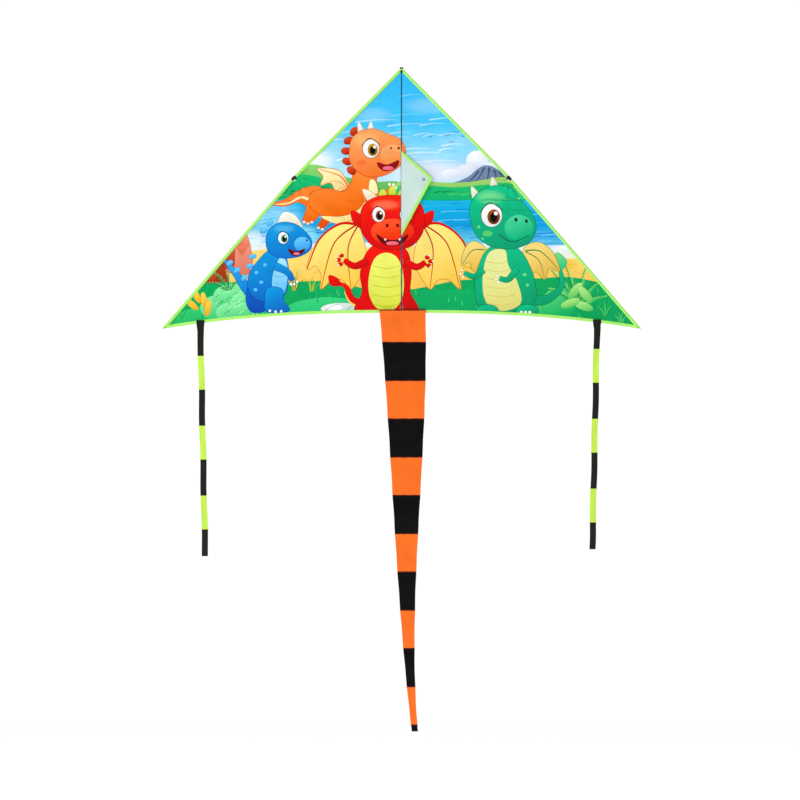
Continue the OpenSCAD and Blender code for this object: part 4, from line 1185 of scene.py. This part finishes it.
columns = 26
heights = np.concatenate([np.linspace(KEEL_TOP[1] - 0.001, KEEL_POINT[1], 28),
                          np.linspace(KEEL_POINT[1], KEEL_BOTTOM[1] + 0.001, 50)[1:]])
EYELET = np.array([0.047, -0.2348])
places = []
for z in heights:
    reach = max(keel_edge_x(z) - 0.003, 0.0008)
    for k in range(columns):
        x = -0.0004 + (reach + 0.0004) * k / (columns - 1)
        places.append((x, float(keel_y(x, z)), z))
places = np.array(places)
near = np.hypot(places[:, 0] - EYELET[0], places[:, 2] - EYELET[1])
places[:, 1] = KEEL_Y + (places[:, 1] - KEEL_Y) * np.clip((near - 0.003) / 0.018, 0, 1)
flap = cloth_mesh("keel_flap_cloth", places, grid_faces(len(heights) - 1, columns - 1))
flap.data.materials.append(white_cloth)
finish_modifier(flap, "SOLIDIFY", thickness=0.00025, offset=0)
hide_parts("keel_panel")
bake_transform(flap)


def offset_corner(before, corner, after, width):
    """The corner of a line drawn inside two edges at a fixed distance."""
    first, second = corner - before, after - corner
    first, second = first / np.linalg.norm(first), second / np.linalg.norm(second)
    n1, n2 = inward(first), inward(second)
    middle = n1 + n2
    return corner + middle * width / (1 + n1 @ n2)


inner_point = offset_corner(KEEL_TOP, KEEL_POINT, KEEL_BOTTOM, KEEL_TAPE)
top_run = (KEEL_POINT - KEEL_TOP) / np.linalg.norm(KEEL_POINT - KEEL_TOP)
bottom_run = (KEEL_BOTTOM - KEEL_POINT) / np.linalg.norm(KEEL_BOTTOM - KEEL_POINT)
inner_top = np.array([KEEL_TOP[0], KEEL_TOP[1] - KEEL_TAPE / top_run[0]])
inner_bottom = np.array([KEEL_BOTTOM[0], KEEL_BOTTOM[1] + KEEL_TAPE / abs(bottom_run[0])])
rings, stitch_route = [], []
for outer_from, outer_to, inner_from, inner_to in ((KEEL_TOP, KEEL_POINT, inner_top, inner_point),
                                                   (KEEL_POINT, KEEL_BOTTOM, inner_point, inner_bottom)):
    for t in np.linspace(0, 1, 44):
        outer = outer_from + (outer_to - outer_from) * t
        inner = inner_from + (inner_to - inner_from) * t
        ring = []
        for u, y in hem_profile:
            place = outer + (inner - outer) * u
            ring.append((place[0], float(keel_y(place[0], place[1])) + y * 0.8, place[1]))
        rings.append(ring)
        place = outer + (inner - outer) * 0.8
        if 0.03 < t < 0.97:
            stitch_route.append((place[0], float(keel_y(place[0], place[1])) - 0.00048, place[1]))
binding = folded_strip("keel_flap_binding", rings, lime)
keel_row = stitches("keel_binding_stitches", stitch_route, (0, -1, 0), thread_lime)
for piece in (binding, keel_row):
    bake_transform(piece)
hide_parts("keel_tape")


# ---------------------------------------------------------------- Main tail
# Twelve bands of thin polyester, orange and black in turn, are sewn end to end with narrow
# flat seams. The tail tapers all the way down and is sewn to the front of the hem.
TAIL_Y = -0.00105
TAIL_TOP_Z = -0.5085
TAIL_FIRST, TAIL_BAND, TAIL_LAST, TAIL_BANDS = 0.0676, 0.0802, 0.0134, 12
TAIL_LENGTH = TAIL_FIRST + (TAIL_BANDS - 2) * TAIL_BAND + TAIL_LAST
orange_cloth = woven("orange polyester", tint(255, 116, 36), roughness=0.42, crease=0.7, variation=0.08)
black_cloth = woven("black polyester", tint(4, 3, 5), roughness=0.45, crease=0.7, variation=0.2)
seam_cloth = woven("dark red seam", tint(92, 26, 20), roughness=0.6, crease=0.3, variation=0.2)


def tail_seam(i):
    return 0 if i == 0 else TAIL_LENGTH if i == TAIL_BANDS else TAIL_FIRST + (i - 1) * TAIL_BAND


def tail_width(s):
    t = s / TAIL_LENGTH
    return 0.097 - 0.0835 * t + (0.028 - 0.080 * t) * t * (1 - t)


def tail_centre(s):
    t = s / TAIL_LENGTH
    return 0.002 + 0.026 * t + (0.028 - 0.092 * t) * t * (1 - t)


def tail_point(s, across, top, end):
    """A point of the band between two seams: it swells a little and folds lengthwise."""
    t = (s - top) / (end - top)
    swell = math.sin(math.pi * t) ** 2
    width = tail_width(s) - 0.0012 * swell
    x = tail_centre(s) + across * width / 2
    fold = math.sin(across * 4.2 + s * 37) * 0.0011 + math.sin(across * 1.7 + s * 71) * 0.0016
    lean = 0.0030 * math.sin(s * 19 + 0.7) * swell
    if s <= TAIL_FIRST:
        swell *= min(max((abs(x) - 0.0034) / 0.014, 0), 1)
    return (x, TAIL_Y - 0.0002 - (abs(fold) * 0.9 + lean * 0.6 + 0.0006) * swell, TAIL_TOP_Z - s)


def tail_strip(name, across_from, across_to, top, end, cloth, cells):
    rows = max(4, int((end - top) / 0.004))
    cells = max(cells, 2)
    places = np.array([tail_point(top + (end - top) * r / rows,
                                  across_from + (across_to - across_from) * k / cells,
                                  top, end) for r in range(rows + 1) for k in range(cells + 1)])
    piece = cloth_mesh(name, places, grid_faces(rows, cells))
    piece.data.materials.append(cloth)
    finish_modifier(piece, "SOLIDIFY", thickness=0.00028, offset=0)
    return piece


def seam_fold(name, s, across_from, across_to):
    """The narrow turned edge where a band is sewn on."""
    rings = []
    for across in np.linspace(across_from, across_to,
                              max(6, int(tail_width(s) * (across_to - across_from) / 0.008))):
        x = tail_centre(s) + across * (tail_width(s) / 2 + 0.0001)
        z = TAIL_TOP_Z - s + 0.00025 * math.sin(across * 9 + s * 40)
        rings.append([(x, TAIL_Y - 0.00030, z + 0.0012), (x, TAIL_Y - 0.00072, z + 0.0008),
                      (x, TAIL_Y - 0.00078, z - 0.0004), (x, TAIL_Y - 0.00045, z - 0.0010),
                      (x, TAIL_Y + 0.00030, z - 0.0010), (x, TAIL_Y + 0.00035, z + 0.0012)])
    return loft(name, rings, seam_cloth)


FOLD_X = 0.0032
for band in range(1, TAIL_BANDS + 1):
    top, end = tail_seam(band - 1), tail_seam(band)
    cloth = orange_cloth if band % 2 else black_cloth
    width, length = tail_width((top + end) / 2), end - top
    if band == 1:
        half = width / 2
        left_edge = (-FOLD_X - tail_centre((top + end) / 2)) / half
        right_edge = (FOLD_X - tail_centre((top + end) / 2)) / half
        middle = tail_strip("tail_band_1", left_edge, right_edge, top, end, cloth, 4)
        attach(middle, "frame")
        edge = seam_fold("tail_top_fold", 0.0, left_edge, right_edge)
        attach(edge, "frame")
        for side_name, low, high in (("left", -1.0, left_edge), ("right", right_edge, 1.0)):
            wing_piece = tail_strip(f"tail_band_1_{side_name}", low, high, top, end, cloth, 18)
            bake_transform(wing_piece)
            edge = seam_fold(f"tail_top_fold_{side_name}", 0.0, low, high)
            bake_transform(edge)
        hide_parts("main_tail_panel_1")
    else:
        body = f"tail_{band}"
        piece = tail_strip(f"tail_band_{band}", -1.0, 1.0, top, end, cloth, max(6, int(width / 0.003)))
        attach(piece, body)
        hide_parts(f"main_tail_panel_{band}")
        ridge = seam_fold(f"tail_seam_{band - 1}_fold", top, -1.0, 1.0)
        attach(ridge, body)


# ---------------------------------------------------------------- Ribbon tails
# Two narrow ribbons, black and lime in turn, hang from the hem near the tips. Each top is
# gathered in three small pleats and sewn to the front of the hem.
RIBBON_WIDTH = 0.013
ribbon_black = woven("black ribbon", tint(30, 34, 24), roughness=0.45, pitch=0.0006, crease=0.5,
                     variation=0.2)
ribbon_lime = woven("lime ribbon", tint(200, 240, 84), roughness=0.45, pitch=0.0006, crease=0.5,
                    variation=0.08)
RIBBON_BANDS, RIBBON_BAND, RIBBON_LAST, RIBBON_LEAN, RIBBON_LAP = 7, 0.0732, 0.055, 0.010, 0.0078
for side_name, side, hang_x, first in (("right", 1, 0.410, 0.053), ("left", -1, 0.4215, 0.066)):
    top_z = float(trail_z(hang_x + 0.008)) - 0.0003
    total = first + (RIBBON_BANDS - 2) * RIBBON_BAND + RIBBON_LAST
    rest_y = -0.00075
    cells = 14

    def ribbon_point(s, across, top, end, pleated):
        """A point of a band. Above the hem's lower edge s is negative and the cloth is pleated."""
        t = np.clip((s - top) / (end - top), 0, 1)
        swell = math.sin(math.pi * t) ** 2
        pleat = math.exp(-max(s, 0) / 0.012) if pleated else 0
        x = hang_x - RIBBON_LEAN * max(s, 0) / total + across * (RIBBON_WIDTH / 2) * (1 + 0.30 * pleat)
        x += 0.0007 * math.sin(s * 43 + side) * (0 if pleated and s < 0.01 else 1)
        roll = 0.0006 * math.cos(across * 2.6) * swell + 0.0012 * math.sin(s * 33 + side * 2) * swell
        y = rest_y - 0.00025 - abs(roll)
        y -= 0.0011 * pleat * abs(math.sin(across * 4.7))
        if pleated:
            settled = float(sail_y(hang_x, trail_z(hang_x) + 0.004)) * math.exp(-max(s, 0) / 0.03)
            y += settled - 0.0002 * pleat
        return (x * side, y, top_z - s)

    for band in range(1, RIBBON_BANDS + 1):
        top = 0 if band == 1 else first + (band - 2) * RIBBON_BAND
        end = total if band == RIBBON_BANDS else first + (band - 1) * RIBBON_BAND
        from_s = -RIBBON_LAP if band == 1 else top
        rows = int((end - from_s) / 0.0035)
        places = np.array([ribbon_point(from_s + (end - from_s) * r / rows, -1 + 2 * k / cells, top, end,
                                        band == 1)
                           for r in range(rows + 1) for k in range(cells + 1)])
        faces = grid_faces(rows, cells)
        if side < 0:
            faces = [f[::-1] for f in faces]
        piece = cloth_mesh(f"ribbon_{side_name}_band_{band}", places, faces)
        piece.data.materials.append(ribbon_black if band % 2 else ribbon_lime)
        finish_modifier(piece, "SOLIDIFY", thickness=0.00028, offset=0)
        body = f"ribbon_{side_name}_{band}"
        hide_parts(f"ribbon_{side_name}_panel_{band}")
        if band == 1:
            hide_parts(f"ribbon_tab_{side_name}")
            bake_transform(piece)
            route = [(side * (hang_x + 0.0085 * a), places[:, 1].min() - 0.0002, top_z + 0.0050)
                     for a in np.linspace(-0.9, 0.9, 12)]
            row = stitches(f"ribbon_{side_name}_stitches", route, (0, -1, 0), ribbon_black)
            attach(row, f"wing_{side_name}")
        else:
            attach(piece, body)
        if band > 1:
            x = hang_x - RIBBON_LEAN * top / total + 0.0007 * math.sin(top * 43 + side)
            rings = []
            for across in np.linspace(-1, 1, 6):
                px, z = (x + across * 0.0067) * side, top_z - top
                rings.append([(px, rest_y - 0.0004, z + 0.0012), (px, rest_y - 0.0008, z + 0.0006),
                              (px, rest_y - 0.0008, z - 0.0006), (px, rest_y - 0.0004, z - 0.0012),
                              (px, rest_y + 0.0004, z - 0.0012), (px, rest_y + 0.0004, z + 0.0012)])
            ridge = loft(f"ribbon_{side_name}_seam_{band}_fold", rings, ribbon_black)
            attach(ridge, body)
